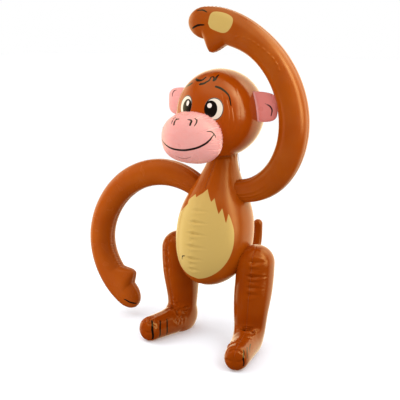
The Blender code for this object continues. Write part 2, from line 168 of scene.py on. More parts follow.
def on_head(turn, tilt, radius=HEAD_RADIUS):
    """A point on the head: degrees round from its front towards its left, and degrees up."""
    turn, tilt = np.radians(turn), np.radians(tilt)
    return HEAD_CENTRE + radius * np.stack([np.sin(turn) * np.cos(tilt), -np.cos(turn) * np.cos(tilt),
                                            np.sin(tilt)], -1)


def off_head(points):
    """Distance of points from the head's ball, less than 0 inside it."""
    return np.linalg.norm(points - HEAD_CENTRE, axis=-1) - HEAD_RADIUS


drop, reach = math.radians(MUZZLE_DROP), HEAD_RADIUS + MUZZLE_STANDOUT - MUZZLE_HALVES[1]
MUZZLE_CENTRE = HEAD_CENTRE + (0, -math.cos(drop) * reach, -math.sin(drop) * reach)


def on_muzzle_ring(angle, tilt):
    """A point of the muzzle: angle round its outline, tilt from its front pole."""
    across, up = np.cos(angle), np.sin(angle)
    power = np.where(up < 0, *MUZZLE_POWERS)
    out = np.sin(tilt) / (np.abs(across) ** power + np.abs(up) ** power) ** (1 / power)
    return MUZZLE_CENTRE + np.stack([MUZZLE_HALVES[0] * across * out,
                                     -MUZZLE_HALVES[1] * np.cos(tilt) + 0 * out,
                                     MUZZLE_HALVES[2] * up * out], -1)


def on_muzzle_front(places):
    """Points of the muzzle's front half, from millimetres across and up from its middle."""
    across, up = np.array(places, float).T * MM
    angle = np.arctan2(up / MUZZLE_HALVES[2], across / MUZZLE_HALVES[0])
    power = np.where(up < 0, *MUZZLE_POWERS)
    out = ((np.abs(across) / MUZZLE_HALVES[0]) ** power + (np.abs(up) / MUZZLE_HALVES[2]) ** power
           ) ** (1 / power)
    return on_muzzle_ring(angle, np.arcsin(np.clip(out, 0, 0.999)))


def curled_line(length, headings, steps):
    """Points (out, up) along a centre line whose heading changes smoothly."""
    angle = np.radians(eased(headings, (np.arange(steps) + 0.5) / steps))
    run = np.stack([np.cos(angle), np.sin(angle)], 1) * length / steps
    return np.concatenate([np.zeros((1, 2)), np.cumsum(run, 0)])


def leg_line(steps, stride):
    """Centre line of a leg: down the thigh and shin, round the instep and out to the toes."""
    foot_up = FOOT_HEIGHT / 2 - SOLE_FLAT / 2
    turns = np.pi / 2 * np.arange(6) / 5
    stops = [(KNEE_FORWARD, LEG_HEIGHT), (KNEE_FORWARD, LEG_HEIGHT - THIGH_LENGTH),
             (stride, foot_up + INSTEP_BEND + ANKLE_DEPTH / 2)]
    stops += [(stride + INSTEP_BEND * (1 - math.cos(a)), foot_up + INSTEP_BEND * (1 - math.sin(a)))
              for a in turns]
    stops = np.array(stops + [(stride + FOOT_LENGTH - ANKLE_DEPTH / 2, foot_up)])
    lengths = np.concatenate([[0], np.cumsum(np.linalg.norm(np.diff(stops, axis=0), axis=1))])
    shares, fine = lengths / lengths[-1], np.linspace(0, 1, steps + 1)
    return np.stack([eased(list(zip(shares, column)), fine) for column in stops.T], 1)


# ---------------------------------------------------------------- node trees and meshes
def fill(tree, node, inputs):
    """Fills a node's inputs with links or plain values."""
    for key, value in inputs.items():
        if isinstance(value, bpy.types.NodeSocket):
            tree.links.new(value, node.inputs[key])
        else:
            node.inputs[key].default_value = value
    return node


def add(tree, kind, inputs=None, **settings):
    """Adds a node with its settings and its inputs."""
    node = tree.nodes.new(kind)
    for name, value in settings.items():
        setattr(node, name, value)
    return fill(tree, node, inputs or {})


def figure(tree, operation, *values):
    """What one operation makes of numbers."""
    return add(tree, "ShaderNodeMath", dict(enumerate(values)), operation=operation).outputs[0]


def scaled(tree, vector, factor):
    """A vector times a number."""
    return add(tree, "ShaderNodeVectorMath", {0: vector, 3: factor}, operation="SCALE").outputs[0]


def summed(tree, one, other):
    """Two vectors added up."""
    return add(tree, "ShaderNodeVectorMath", {0: one, 1: other}).outputs[0]


def ramp(tree, value, low, high, start=0.0, end=1.0, kind="LINEAR"):
    """A number that goes from start to end while another goes from low to high."""
    return add(tree, "ShaderNodeMapRange", {0: value, 1: low, 2: high, 3: start, 4: end},
               interpolation_type=kind).outputs[0]


def new_tree(name, sizes):
    """An empty geometry tree with its named inputs; sizes pairs each name with its socket type."""
    tree = bpy.data.node_groups.new(name, "GeometryNodeTree")
    tree.interface.new_socket("Geometry", in_out="INPUT", socket_type="NodeSocketGeometry")
    for size, kind in sizes:
        tree.interface.new_socket(size, in_out="INPUT", socket_type=kind)
    tree.interface.new_socket("Geometry", in_out="OUTPUT", socket_type="NodeSocketGeometry")
    return tree, tree.nodes.new("NodeGroupInput").outputs


def end_tree(tree, geometry, material):
    """Ends a tree with one real mesh that wears the material."""
    smooth = add(tree, "GeometryNodeSetShadeSmooth", {"Geometry": geometry})
    real = add(tree, "GeometryNodeRealizeInstances", {"Geometry": smooth.outputs[0]})
    dressed = add(tree, "GeometryNodeSetMaterial", {"Geometry": real.outputs[0], "Material": material})
    add(tree, "NodeGroupOutput", {"Geometry": dressed.outputs[0]})
    return tree


def limb_tree():
    """Draws an oval skin along a centre line whose points carry the widths to both sides, the
    thickness, and the directions these are measured in."""
    tree, given = new_tree("limb_skin", [("Sides", "NodeSocketInt"), ("Vinyl", "NodeSocketMaterial")])
    line = add(tree, "GeometryNodeMeshToCurve", {"Mesh": given["Geometry"]})
    ring = add(tree, "GeometryNodeCurvePrimitiveCircle", {"Resolution": given["Sides"], "Radius": MM})
    index = add(tree, "GeometryNodeInputIndex").outputs[0]
    marked = add(tree, "GeometryNodeStoreNamedAttribute",
                 {"Geometry": ring.outputs["Curve"], "Name": "around",
                  "Value": figure(tree, "DIVIDE", index, given["Sides"])},
                 data_type="FLOAT", domain="POINT")
    tube = add(tree, "GeometryNodeCurveToMesh",
               {"Curve": line.outputs[0], "Profile Curve": marked.outputs[0]})
    read = {}
    for kind, names in (("FLOAT", ("around", "left", "right", "thick")),
                        ("FLOAT_VECTOR", ("spine", "sideways", "through"))):
        for name in names:
            field = add(tree, "GeometryNodeInputNamedAttribute", {"Name": name}, data_type=kind)
            read[name] = field.outputs[0]
    angle = figure(tree, "MULTIPLY", read["around"], math.tau)
    cosine, sine = figure(tree, "COSINE", angle), figure(tree, "SINE", angle)
    leftward = figure(tree, "GREATER_THAN", cosine, 0.0)
    half = add(tree, "ShaderNodeMix", {0: leftward, 2: read["right"], 3: read["left"]}).outputs[0]
    out = scaled(tree, read["sideways"], figure(tree, "MULTIPLY", cosine, half))
    back = scaled(tree, read["through"], figure(tree, "MULTIPLY", sine, read["thick"]))
    place = summed(tree, read["spine"], summed(tree, out, back))
    moved = add(tree, "GeometryNodeSetPosition", {"Geometry": tube.outputs[0], "Position": place})
    closed = add(tree, "GeometryNodeMergeByDistance",
                 {"Geometry": moved.outputs[0], "Distance": 1e-6})
    return end_tree(tree, closed.outputs[0], given["Vinyl"])


def weld_tree():
    """Lays a thin raised bead along weld lines."""
    tree, given = new_tree("weld_bead", [("Bead radius", "NodeSocketFloat"),
                                         ("Sides", "NodeSocketInt"), ("Vinyl", "NodeSocketMaterial")])
    line = add(tree, "GeometryNodeMeshToCurve", {"Mesh": given["Geometry"]})
    ring = add(tree, "GeometryNodeCurvePrimitiveCircle",
               {"Resolution": given["Sides"], "Radius": given["Bead radius"]})
    bead = add(tree, "GeometryNodeCurveToMesh",
               {"Curve": line.outputs[0], "Profile Curve": ring.outputs["Curve"], "Fill Caps": True})
    return end_tree(tree, bead.outputs[0], given["Vinyl"])


def placed(name, data):
    """An object in the scene."""
    item = bpy.data.objects.new(name, data)
    bpy.context.scene.collection.objects.link(item)
    return item


def lines_mesh(name, lines):
    """A mesh of edges only, along each line; a line that ends where it starts is closed."""
    points, edges = [], []
    for line in lines:
        loop = np.linalg.norm(line[0] - line[-1]) < 1e-6
        line = line[:-1] if loop else line
        first = len(points)
        points += [tuple(point) for point in line]
        edges += [(first + k, first + k + 1) for k in range(len(line) - 1)]
        edges += [(first + len(line) - 1, first)] if loop else []
    mesh = bpy.data.meshes.new(name)
    mesh.from_pydata(points, edges, [])
    return mesh


def grown(name, guide, tree, sizes):
    """Runs a node tree on a guide mesh and keeps what it makes as a plain mesh."""
    piece = placed(name, guide)
    shaper = piece.modifiers.new("shape", "NODES")
    shaper.node_group = tree
    for socket in tree.interface.items_tree:
        if socket.in_out == "INPUT" and socket.name in sizes:
            shaper[socket.identifier] = sizes[socket.name]
    state = bpy.context.evaluated_depsgraph_get()
    made = bpy.data.meshes.new_from_object(piece.evaluated_get(state), depsgraph=state)
    piece.modifiers.remove(shaper)
    piece.data = made
    made.name = name
    return outwards(piece)


def points_of(piece, field="co"):
    """The places, or another vector field, of all a piece's points."""
    values = np.empty(len(piece.data.vertices) * 3)
    piece.data.vertices.foreach_get(field, values)
    return values.reshape(-1, 3)


def marks_of(piece, name):
    """A number that each point of a piece carries."""
    values = np.empty(len(piece.data.vertices))
    piece.data.attributes[name].data.foreach_get("value", values)
    return values


def outwards(piece):
    """Turns a closed mesh right side out."""
    mesh = piece.data
    mesh.calc_loop_triangles()
    corners = np.empty(len(mesh.loop_triangles) * 3, int)
    mesh.loop_triangles.foreach_get("vertices", corners)
    a, b, c = np.moveaxis(points_of(piece)[corners.reshape(-1, 3)], 1, 0)
    if np.einsum("ij,ij->i", a, np.cross(b, c)).sum() < 0:
        mesh.flip_normals()
    return piece


def skin(name, rings, material):
    """Closed skin through equal rings; the first and the last ring are each one point."""
    count, sides = rings.shape[:2]
    points = np.concatenate([rings[0, :1], rings[1:-1].reshape(-1, 3), rings[-1, :1]])
    here = 1 + np.arange((count - 2) * sides).reshape(count - 2, sides)
    after = np.roll(here, -1, 1)
    quads = np.stack([here[:-1], after[:-1], after[1:], here[1:]], -1).reshape(-1, 4)
    last = len(points) - 1
    faces = [(0, b, a) for a, b in zip(here[0], after[0])] + quads.tolist()
    faces += [(last, a, b) for a, b in zip(here[-1], after[-1])]
    mesh = bpy.data.meshes.new(name)
    mesh.from_pydata(points.tolist(), [], faces)
    mesh.shade_smooth()
    mesh.materials.append(material)
    return outwards(placed(name, mesh))


def packed(grid):
    """A value per ring point, in the order of a skin's points."""
    return np.concatenate([grid[0, :1], grid[1:-1].ravel(), grid[-1, :1]])


def move(piece, points):
    """Puts a piece's points in new places."""
    piece.data.vertices.foreach_set("co", points.ravel())
    piece.data.update()


def press(piece, depths):
    """Moves each point of a skin along its own normal; a negative depth draws it in."""
    move(piece, points_of(piece) + points_of(piece, "normal") * depths[:, None])


def print_and_paint_layers(piece, **gaps):
    """Keeps a piece's printed layers, and its layers of painted shade and highlight, as each point's
    distance in millimetres from their edges.
    """
    for layer in (*BROWN_INKS, *PINK_INKS_AND_PAINT):
        attribute = piece.data.attributes.new(layer, "FLOAT", "POINT")
        gap = gaps.get(layer, np.ones(len(piece.data.vertices)))
        attribute.data.foreach_set("value", (gap / MM).astype(np.float32))


# ---------------------------------------------------------------- welds, creases and printed shapes
# A crease narrows to CREASE_END of its width where it ends, and fades out by CREASE_FADE. The sheet
# swells SWELL_OFF widths beside it, by SWELL of its depth.
CREASE_END, CREASE_FADE, SWELL, SWELL_OFF = 0.35, 1.5, 0.4, 2.2
# A crumple's dents: how many, their half width and half length, and the swelling beside each, as
# its share of their depth, how far off it is and its half width.
DENTS, DENT_HALF, DENT_ALONG = 16, 2.2 * MM, 5.5 * MM
DENT_SWELL, DENT_SWELL_OFF, DENT_SWELL_HALF = 0.5, 4.5 * MM, 2.0 * MM


def pinch(off, width, depth):
    """How far a weld holds the sheet in, at a distance off it."""
    return -depth * np.exp(-(off / width) ** 2)


def creases(along, off, places, reach, depth, width):
    """Short sharp creases that cross a weld at the given places along it, the sheet swollen to both
    sides of each."""
    total = np.zeros_like(along)
    for place, far, deep in zip(places, reach, depth):
        fade = np.clip(1 - np.abs(off) / far, 0, 1)
        beside = np.abs(along - place) / (width * (CREASE_END + (1 - CREASE_END) * fade))
        shape = np.exp(-beside) - SWELL * np.exp(-(beside - SWELL_OFF) ** 2)
        total -= deep * shape * fade ** CREASE_FADE
    return total


def gathers(along, off, first, last, pitch, reach, depth, seed, fading=0.5, breadth=0.22):
    """A row of uneven creases across a weld, weaker towards both ends of the row if it fades."""
    luck = np.random.default_rng(seed)
    count = max(2, round((last - first) / pitch))
    places = np.linspace(first, last, count) + luck.uniform(-0.25, 0.25, count) * pitch
    strength = np.sin(np.pi * (np.arange(count) + 0.5) / count) ** fading
    return creases(along, off, places, reach * luck.uniform(0.6, 1.3, count),
                   depth * luck.uniform(0.5, 1.2, count) * strength, pitch * breadth)


def gathered(along, seed, rows):
    """Several rows of gathers: each row's distance off its weld, first and last place, and pitch,
    reach and depth in millimetres."""
    return sum(gathers(along, off, first, last, *(size * MM for size in sizes), seed + number)
               for number, (off, first, last, *sizes) in enumerate(rows))


def crumple(points, middle, across, depth, seed):
    """Short dents at all angles over a few centimetres, where a bend bunches the sheet."""
    luck = np.random.default_rng(seed)
    near = np.flatnonzero(np.linalg.norm(points - middle, axis=1) < across)
    total = np.zeros(len(points))
    for at, run in zip(points[luck.choice(near, DENTS)], luck.normal(0, 1, (DENTS, 3))):
        run /= np.linalg.norm(run)
        along = (points - at) @ run
        aside = np.linalg.norm(points - at - along[:, None] * run, axis=1)
        swell = DENT_SWELL * np.exp(-((aside - DENT_SWELL_OFF) / DENT_SWELL_HALF) ** 2)
        dent = np.exp(-(aside / DENT_HALF) ** 2) - swell
        total -= depth * luck.uniform(0.3, 1.0) * dent * np.exp(-(along / DENT_ALONG) ** 2)
    return total


def line_gap(points, path, widths):
    """Distance from each point to a drawn line, less than 0 inside it. Its widths in millimetres
    are spread evenly along it."""
    widths = np.interp(np.linspace(0, 1, len(path)), np.linspace(0, 1, len(widths)), widths) * MM
    gap = np.full(len(points), 1.0)
    # Only points up to 10 mm from its box are measured.
    low, high = path.min(0) - 10 * MM, path.max(0) + 10 * MM
    near = np.flatnonzero((points > low).all(1) & (points < high).all(1))
    close = points[near]
    for start, end, w0, w1 in zip(path, path[1:], widths, widths[1:]):
        run = end - start
        t = np.clip((close - start) @ run / (run @ run), 0, 1)
        far = np.linalg.norm(close - start - t[:, None] * run, axis=1) - (w0 + (w1 - w0) * t) / 2
        gap[near] = np.minimum(gap[near], far)
    return gap


def drawn_gap(points, drawings):
    """Distance from each point to the nearest of several drawn lines."""
    return np.minimum.reduce([line_gap(points, path, widths) for path, widths in drawings])


def patch_gap(places, outline):
    """Distance from flat places to a closed outline, less than 0 inside it."""
    gap = np.full(len(places), np.inf)
    inside = np.zeros(len(places), bool)
    for start, end in zip(outline, np.roll(outline, -1, 0)):
        run = end - start
        t = np.clip((places - start) @ run / (run @ run), 0, 1)
        gap = np.minimum(gap, np.linalg.norm(places - start - t[:, None] * run, axis=1))
        crosses = (start[1] > places[:, 1]) != (end[1] > places[:, 1])
        with np.errstate(divide="ignore", invalid="ignore"):
            at = start[0] + (places[:, 1] - start[1]) * run[0] / run[1]
        inside ^= crosses & (places[:, 0] < at)
    return np.where(inside, -gap, gap)


def oval_gap(across, up, half_width, half_height):
    """Distance from flat places to an oval, less than 0 inside it."""
    out = np.hypot(across / half_width, up / half_height)
    return (out - 1) * min(half_width, half_height)


# ---------------------------------------------------------------- finishes
def linear(sheet_hex):
    """Linear red, green, blue and alpha of an sRGB hex colour."""
    parts = [int(sheet_hex[k:k + 2], 16) / 255 for k in (1, 3, 5)]
    return tuple(c / 12.92 if c <= 0.04045 else ((c + 0.055) / 1.055) ** 2.4 for c in parts) + (1.0,)


# Fine wrinkles run across a limb about every 2.5 mm and are a sixth of its girth long.
CREPE_LINES, CREPE_TURNS = 190.0, 6.0


def new_material(name):
    """A material, its node tree and its shader."""
    made = bpy.data.materials.new(name)
    made.use_nodes = True
    return made, made.node_tree, made.node_tree.nodes["Principled BSDF"]


def mixed(tree, share, one, other):
    """A colour between two others."""
    return add(tree, "ShaderNodeMix", {0: share, 6: one, 7: other}, data_type="RGBA").outputs[2]


def noise(tree, place, scale, detail=1.0):
    """Soft random values over space."""
    return add(tree, "ShaderNodeTexNoise", {"Vector": place, "Scale": scale, "Detail": detail}
               ).outputs["Fac"]


def mark(tree, name):
    """A number that the mesh carries."""
    return add(tree, "ShaderNodeAttribute", attribute_name=name).outputs["Fac"]


def printed_and_painted_vinyl(name, sheet, stretched, layer_colours, roughness, ior=1.53, tint="#FFFFFF", crepe=0.0):
    """Glossy calendered PVC sheet with printed layers, and layers of painted shade or highlight, each
    kept on the mesh as a distance. Tint colours its gloss, and crepe is how deep the fine wrinkles
    across a limb are, in millimetres."""
    made, tree, shader = new_material(name)
    place = add(tree, "ShaderNodeTexCoord").outputs["Object"]
    # Blowing up stretches the sheet unevenly, so its colour is a little thinner in patches of
    # about 50 mm.
    thinner = ramp(tree, noise(tree, place, 20.0, 2.0), 0.35, 0.7)
    colour = mixed(tree, thinner, linear(sheet), linear(stretched))
    for layer, ink in layer_colours.items():
        colour = mixed(tree, ramp(tree, mark(tree, layer), 0.25, -0.25), colour, linear(ink))
    # The rolls leave a faint orange peel about 3 mm across, and the sheet is wavy by a hair over
    # 20 mm, which breaks up the edges of reflections. Each relief: strength, and depth in millimetres.
    peel, waves = noise(tree, place, 330.0), noise(tree, place, 50.0)
    gloss = ramp(tree, waves, 0.3, 0.7, roughness - 0.04, roughness + 0.05)
    reliefs = [(peel, 0.06, 0.3), (waves, 0.25, 1.0)]
    if crepe:
        laid = add(tree, "ShaderNodeCombineXYZ", {
            0: figure(tree, "MULTIPLY", mark(tree, "share"), CREPE_LINES),
            1: figure(tree, "MULTIPLY", mark(tree, "around"), CREPE_TURNS)})
        reliefs.append((noise(tree, laid.outputs[0], 1.0), 1.0, crepe))
    under = {}
    for height, strength, deep in reliefs:
        bump = add(tree, "ShaderNodeBump", {"Height": height, "Strength": strength,
                                            "Distance": deep * MM, **under})
        under = {"Normal": bump.outputs[0]}
    fill(tree, shader, {"Base Color": colour, "Roughness": gloss, "IOR": ior,
                        "Specular Tint": linear(tint), **under})
    return made


# Printing inks on the brown and on the pink sheet, in the order they are laid down. Two of the pink
# layers are painted light, not print: a darker rose painted on one ear as shade, and pale lines painted
# along the muzzle's puckers as their highlights.
BROWN_INKS = {"tan_print": "#C4A45C", "cream_print": "#E4D9C7", "ink_print": "#17100C",
              "glint_print": "#EEE2D6"}
PINK_INKS_AND_PAINT = {"rose_print": "#E2877F", "pale_print": "#F6CFC6", "chin_print": "#8C5A54",
             "ink_print": "#17100C"}
# The brown sheet of the body and the arms, as it is and where it is stretched thin.
CHESTNUT = "#9A4204", "#A24A06"

# Plasticised PVC sheet, dyed through in chestnut brown: a wet-looking gloss over a deep colour. Its
# gloss is tinted, because light that grazes the sheet also passes through its clear top coat.
brown_vinyl = printed_and_painted_vinyl("gloss_pvc_chestnut", "#9E4003", "#A64605", BROWN_INKS, 0.15,
                            tint="#FFFBEA")
# The same sheet on the raised arm, which is blown up tight and only lightly creped.
arm_vinyl = printed_and_painted_vinyl("taut_pvc_chestnut", *CHESTNUT, BROWN_INKS, 0.21, 1.62, "#FFF4C8", 0.10)
# The same sheet on the body, dulled a little and smooth between its creases.
torso_vinyl = printed_and_painted_vinyl("satin_pvc_chestnut", *CHESTNUT, BROWN_INKS, 0.21, 1.50, "#FFF4C8")
# The same sheet on the lowered arm, where blowing up drew it into the deepest crepe.
creped_vinyl = printed_and_painted_vinyl("creped_pvc_chestnut", *CHESTNUT, BROWN_INKS, 0.24, 1.34,
                             "#FFF4D2", 0.14)
# The same sheet on the legs and the tail, creped, and painted a little darker as shade on these low
# parts.
leg_vinyl = printed_and_painted_vinyl("shade_darkened_pvc_chestnut", "#8C3602", "#943E04", BROWN_INKS, 0.13, 1.48,
                          "#FFEDB4", 0.12)
# The same sheet in light pink, softer in its gloss. Light passes into it and glows through the
# blown-up pillow.
pink_vinyl = printed_and_painted_vinyl("satin_pvc_pink", "#E8A19A", "#ECA9A1", PINK_INKS_AND_PAINT, 0.30)
fill(pink_vinyl.node_tree, pink_vinyl.node_tree.nodes["Principled BSDF"],
     {"Subsurface Weight": 0.4, "Subsurface Radius": (1.0, 0.6, 0.5), "Subsurface Scale": 5 * MM})
# Where the sheets are welded, the hot electrode leaves them darker and dull.
brown_bead = printed_and_painted_vinyl("welded_pvc_chestnut", "#863503", "#8E3C05", {}, 0.45)
pink_bead = printed_and_painted_vinyl("welded_pvc_pink", "#E08E86", "#E89A92", {}, 0.50)
# Clear soft PVC, a little milky, of which the inflation valve is moulded.
clear_vinyl = printed_and_painted_vinyl("milky_pvc_valve", "#D8D8D2", "#E4E3DC", {}, 0.30)


# ---------------------------------------------------------------- head
# Degrees round from the front, of the weld on each side of the face and of the one at the back.
HEAD_WELDS = (58, 180)
# Long shallow folds beside the face, where the gores are drawn to their welds.
FACE_FOLDS = [((36.0, 30.0), (38.5, 14.0), (37.0, -4.0)),
              ((43.0, 22.0), (45.5, 4.0), (43.0, -16.0)),
              ((-36.0, 30.0), (-38.5, 10.0), (-37.0, -8.0)),
              ((49.0, 12.0), (51.0, -8.0), (48.0, -30.0))]
# Each eye: the white's middle (degrees round and up) and half sizes in millimetres, then the
# same for the pupil and for its highlight.
EYES = [((24.7, 11.0), (16.0, 18.8), (20.6, 10.9), (11.2, 14.0), (19.0, 15.0), (3.9, 4.0)),
        ((-19.2, 12.6), (15.8, 18.4), (-16.0, 11.4), (11.2, 13.6), (-15.4, 16.2), (3.3, 4.6))]
EYE_LINE = 1.3 * MM
# Drawn lines: places in degrees round and up, and widths in millimetres.
BROWS = [(((25.5, 40.5), (32.1, 38.4), (37.5, 35.2), (42.0, 31.3), (45.1, 26.2), (46.6, 15.2)),
          (4.0, 4.4, 3.8, 3.2, 2.6, 1.8)),
         (((-28.1, 43.8), (-32.7, 41.5), (-38.4, 39.1), (-43.7, 36.8)), (4.0, 6.0, 5.0, 3.0))]
HAIR = [(((-29.4, 51.6), (-16.3, 49.3), (-6.4, 50.5), (-2.6, 55.7)), (3.0, 5.4, 4.6, 3.4)),
        (((-5.0, 43.5), (1.8, 44.9), (6.1, 47.8), (9.8, 50.5), (10.5, 56.9)),
         (4.8, 5.0, 4.2, 3.2, 2.4)),
        (((10.5, 56.9), (14.5, 57.9), (18.2, 55.1), (19.0, 50.0), (22.1, 52.4), (24.1, 58.2),
          (27.8, 61.9)), (2.2, 2.6, 2.8, 3.2, 4.0, 3.6, 2.4))]


def make_head():
    """The ball of the head, of one face gore and two at the back, with the printed eyes, brows and
    hair. Its points lie closest on the face."""
    turns = np.concatenate([np.linspace(-62, 62, 180, endpoint=False),
                            np.linspace(62, 298, 120, endpoint=False)])
    tilts = np.concatenate([np.linspace(-90, -14, 50, endpoint=False),
                            np.linspace(-14, 66, 118, endpoint=False), np.linspace(66, 90, 24)])
    turn, tilt = np.meshgrid(turns, tilts)
    piece = skin("head_skin", on_head(turn, tilt), brown_vinyl)
    flat = points_of(piece)
    turn, tilt = packed((turn + 180) % 360 - 180), packed(tilt)
    weld_off = [HEAD_RADIUS * np.cos(np.radians(tilt)) * np.radians(np.abs(turn) - weld)
                for weld in HEAD_WELDS]
    depth = sum(pinch(off, 1.2 * MM, 0.10 * MM) for off in weld_off)
    along = HEAD_RADIUS * np.radians(tilt)
    for side in (-1, 1):
        off = np.where(turn * side > 0, weld_off[0], 1.0)
        depth += gathers(along, off, -0.045, 0.060, 7 * MM, 6 * MM, 0.10 * MM, 5 + side)
    # The head is drawn in where the neck is welded on.
    off_neck = np.linalg.norm(flat - (NECK_MOUTH + HOME), axis=1) - NECK_RADIUS
    depth += pinch(off_neck, 6 * MM, 1.2 * MM)
    for path in FACE_FOLDS:
        fold = line_gap(flat, on_head(*smooth_path(path).T), (0.2, 1.0, 0.2))
        depth += pinch(fold, 1.3 * MM, 0.5 * MM)

    def oval(middle, halves):
        """Distance to an oval printed on the ball."""
        across = (turn - middle[0]) * np.cos(np.radians(tilt)) * HEAD_RADIUS * math.pi / 180
        up = (tilt - middle[1]) * HEAD_RADIUS * math.pi / 180
        return oval_gap(across, up, *(half * MM for half in halves))

    ink = drawn_gap(flat, [(on_head(*smooth_path(path).T), widths) for path, widths in BROWS + HAIR])
    cream = glint = np.full(len(flat), 1.0)
    for centre, halves, pupil, pupil_halves, spark, spark_halves in EYES:
        white = oval(centre, halves)
        outline = np.abs(white + EYE_LINE / 2) - EYE_LINE / 2
        ink = np.minimum(ink, np.minimum(outline, oval(pupil, pupil_halves)))
        cream = np.minimum(cream, white)
        glint = np.minimum(glint, oval(spark, spark_halves))
    print_and_paint_layers(piece, cream_print=cream, ink_print=ink, glint_print=glint)
    press(piece, depth)
    # The beads run from pole to pole, sunk by 0.4 mm.
    tall = np.linspace(-88, 88, 90)
    return piece, [on_head(np.full(90, float(turn)), tall, HEAD_RADIUS - 0.4 * MM)
                   for turn in (-HEAD_WELDS[0], *HEAD_WELDS)]


# ---------------------------------------------------------------- muzzle
# The distance round the pillow is measured on a ring of this radius.
MUZZLE_RING = 50 * MM
# Drawn lines: places in millimetres across and up from the muzzle's middle, and widths.
NOSTRILS = [(((-19.5, 34.5), (-21.3, 30.0), (-20.3, 24.1)), (1.2, 2.2, 1.2)),
            (((-8.2, 32.6), (-14.4, 31.2), (-13.9, 23.9)), (1.8, 3.4, 3.4)),
            (((9.3, 33.0), (16.2, 31.6), (17.4, 25.2)), (1.8, 3.4, 3.4)),
            (((18.1, 35.4), (23.7, 32.7), (25.6, 28.4), (24.6, 23.9)), (1.2, 2.4, 2.4, 1.2))]
SMILE = (((-53.0, 8.0), (-47.0, -1.5), (-32.5, -9.6), (-14.9, -15.0), (5.8, -15.8), (20.7, -13.5),
          (33.7, -9.5), (43.3, -3.8), (48.8, 2.4), (51.8, 9.9)),
         (1.6, 2.2, 2.8, 3.4, 3.6, 3.6, 3.4, 3.2, 2.8, 1.8))
DIMPLES = [(((44.0, 16.0), (49.1, 14.9), (52.7, 9.8), (54.0, 5.7)), (1.2, 2.2, 2.2, 1.2)),
           (((-43.0, 16.0), (-48.1, 14.9), (-52.0, 9.8), (-53.6, 5.7)), (1.2, 2.2, 2.2, 1.2))]
CHIN = (((-12.0, -28.0), (-3.1, -30.7), (7.1, -30.5), (18.3, -26.7)), (0.8, 1.4, 1.4, 0.8))


def make_muzzle():
    """The pink pillow on the face, gathered all round where it is welded to the head."""
    angles = np.linspace(0, math.tau, 340, endpoint=False)
    tilts = np.linspace(0, math.pi, 200)
    angle, tilt = np.meshgrid(angles, tilts)
    rings = on_muzzle_ring(angle, tilt)
    # The weld runs where the pillow meets the ball.
    outside = off_head(rings)
    row = np.argmax(outside < 0, axis=0)
    column = np.arange(len(angles))
    share = outside[row - 1, column] / (outside[row - 1, column] - outside[row, column])
    weld = rings[row - 1, column] + share[:, None] * (rings[row, column] - rings[row - 1, column])
    piece = skin("muzzle_skin", rings, pink_vinyl)
    flat = points_of(piece)
    rim = packed(np.linalg.norm(rings - weld[None], axis=2))
    depth = gathers(packed(angle) * MUZZLE_RING, rim, 0, math.tau * MUZZLE_RING, 6.0 * MM, 62 * MM,
                    3.6 * MM, 21, fading=0.0, breadth=0.2)
    # Where it is puckered, pale lines are painted on as the puckers' highlights.
    pale = 0.7 * MM + depth
    depth += pinch(rim, 5 * MM, 1.4 * MM)
    ink, chin = (drawn_gap(flat, [(on_muzzle_front(smooth_path(path)), widths)
                                  for path, widths in drawn])
                 for drawn in (NOSTRILS + [SMILE] + DIMPLES, [CHIN]))
    print_and_paint_layers(piece, ink_print=ink, chin_print=chin, pale_print=pale)
    press(piece, depth)
    return piece, [np.concatenate([weld, weld[:1]])]


# ---------------------------------------------------------------- ears
# The line drawn on the front of the left and of the right ear: places in millimetres to the left
# of the head's middle and up from the ear's, and widths.
EAR_PRINTS = {1: (((91.3, 6.2), (97.0, 4.6), (101.5, 1.6), (104.4, -4.0), (102.4, -13.4)),
                  (0.9, 2.0, 2.4, 2.4, 1.4)),
              -1: (((-92.5, 20.5), (-98.3, 18.6), (-101.4, 13.5), (-101.0, 8.5)),
                   (0.8, 1.6, 1.8, 0.9))}


def ear_half_height(share):
    """Half height of an ear, at a share of its length."""
    return EAR_HEIGHT / 2 * (1 - share ** EAR_OUTLINE_POWER) ** (1 / EAR_OUTLINE_POWER)


def ear_half_thickness(share):
    """Half thickness of an ear, at a share of its length."""
    return EAR_THICKNESS / 2 * np.sqrt(1 - share ** EAR_EDGE_POWER)


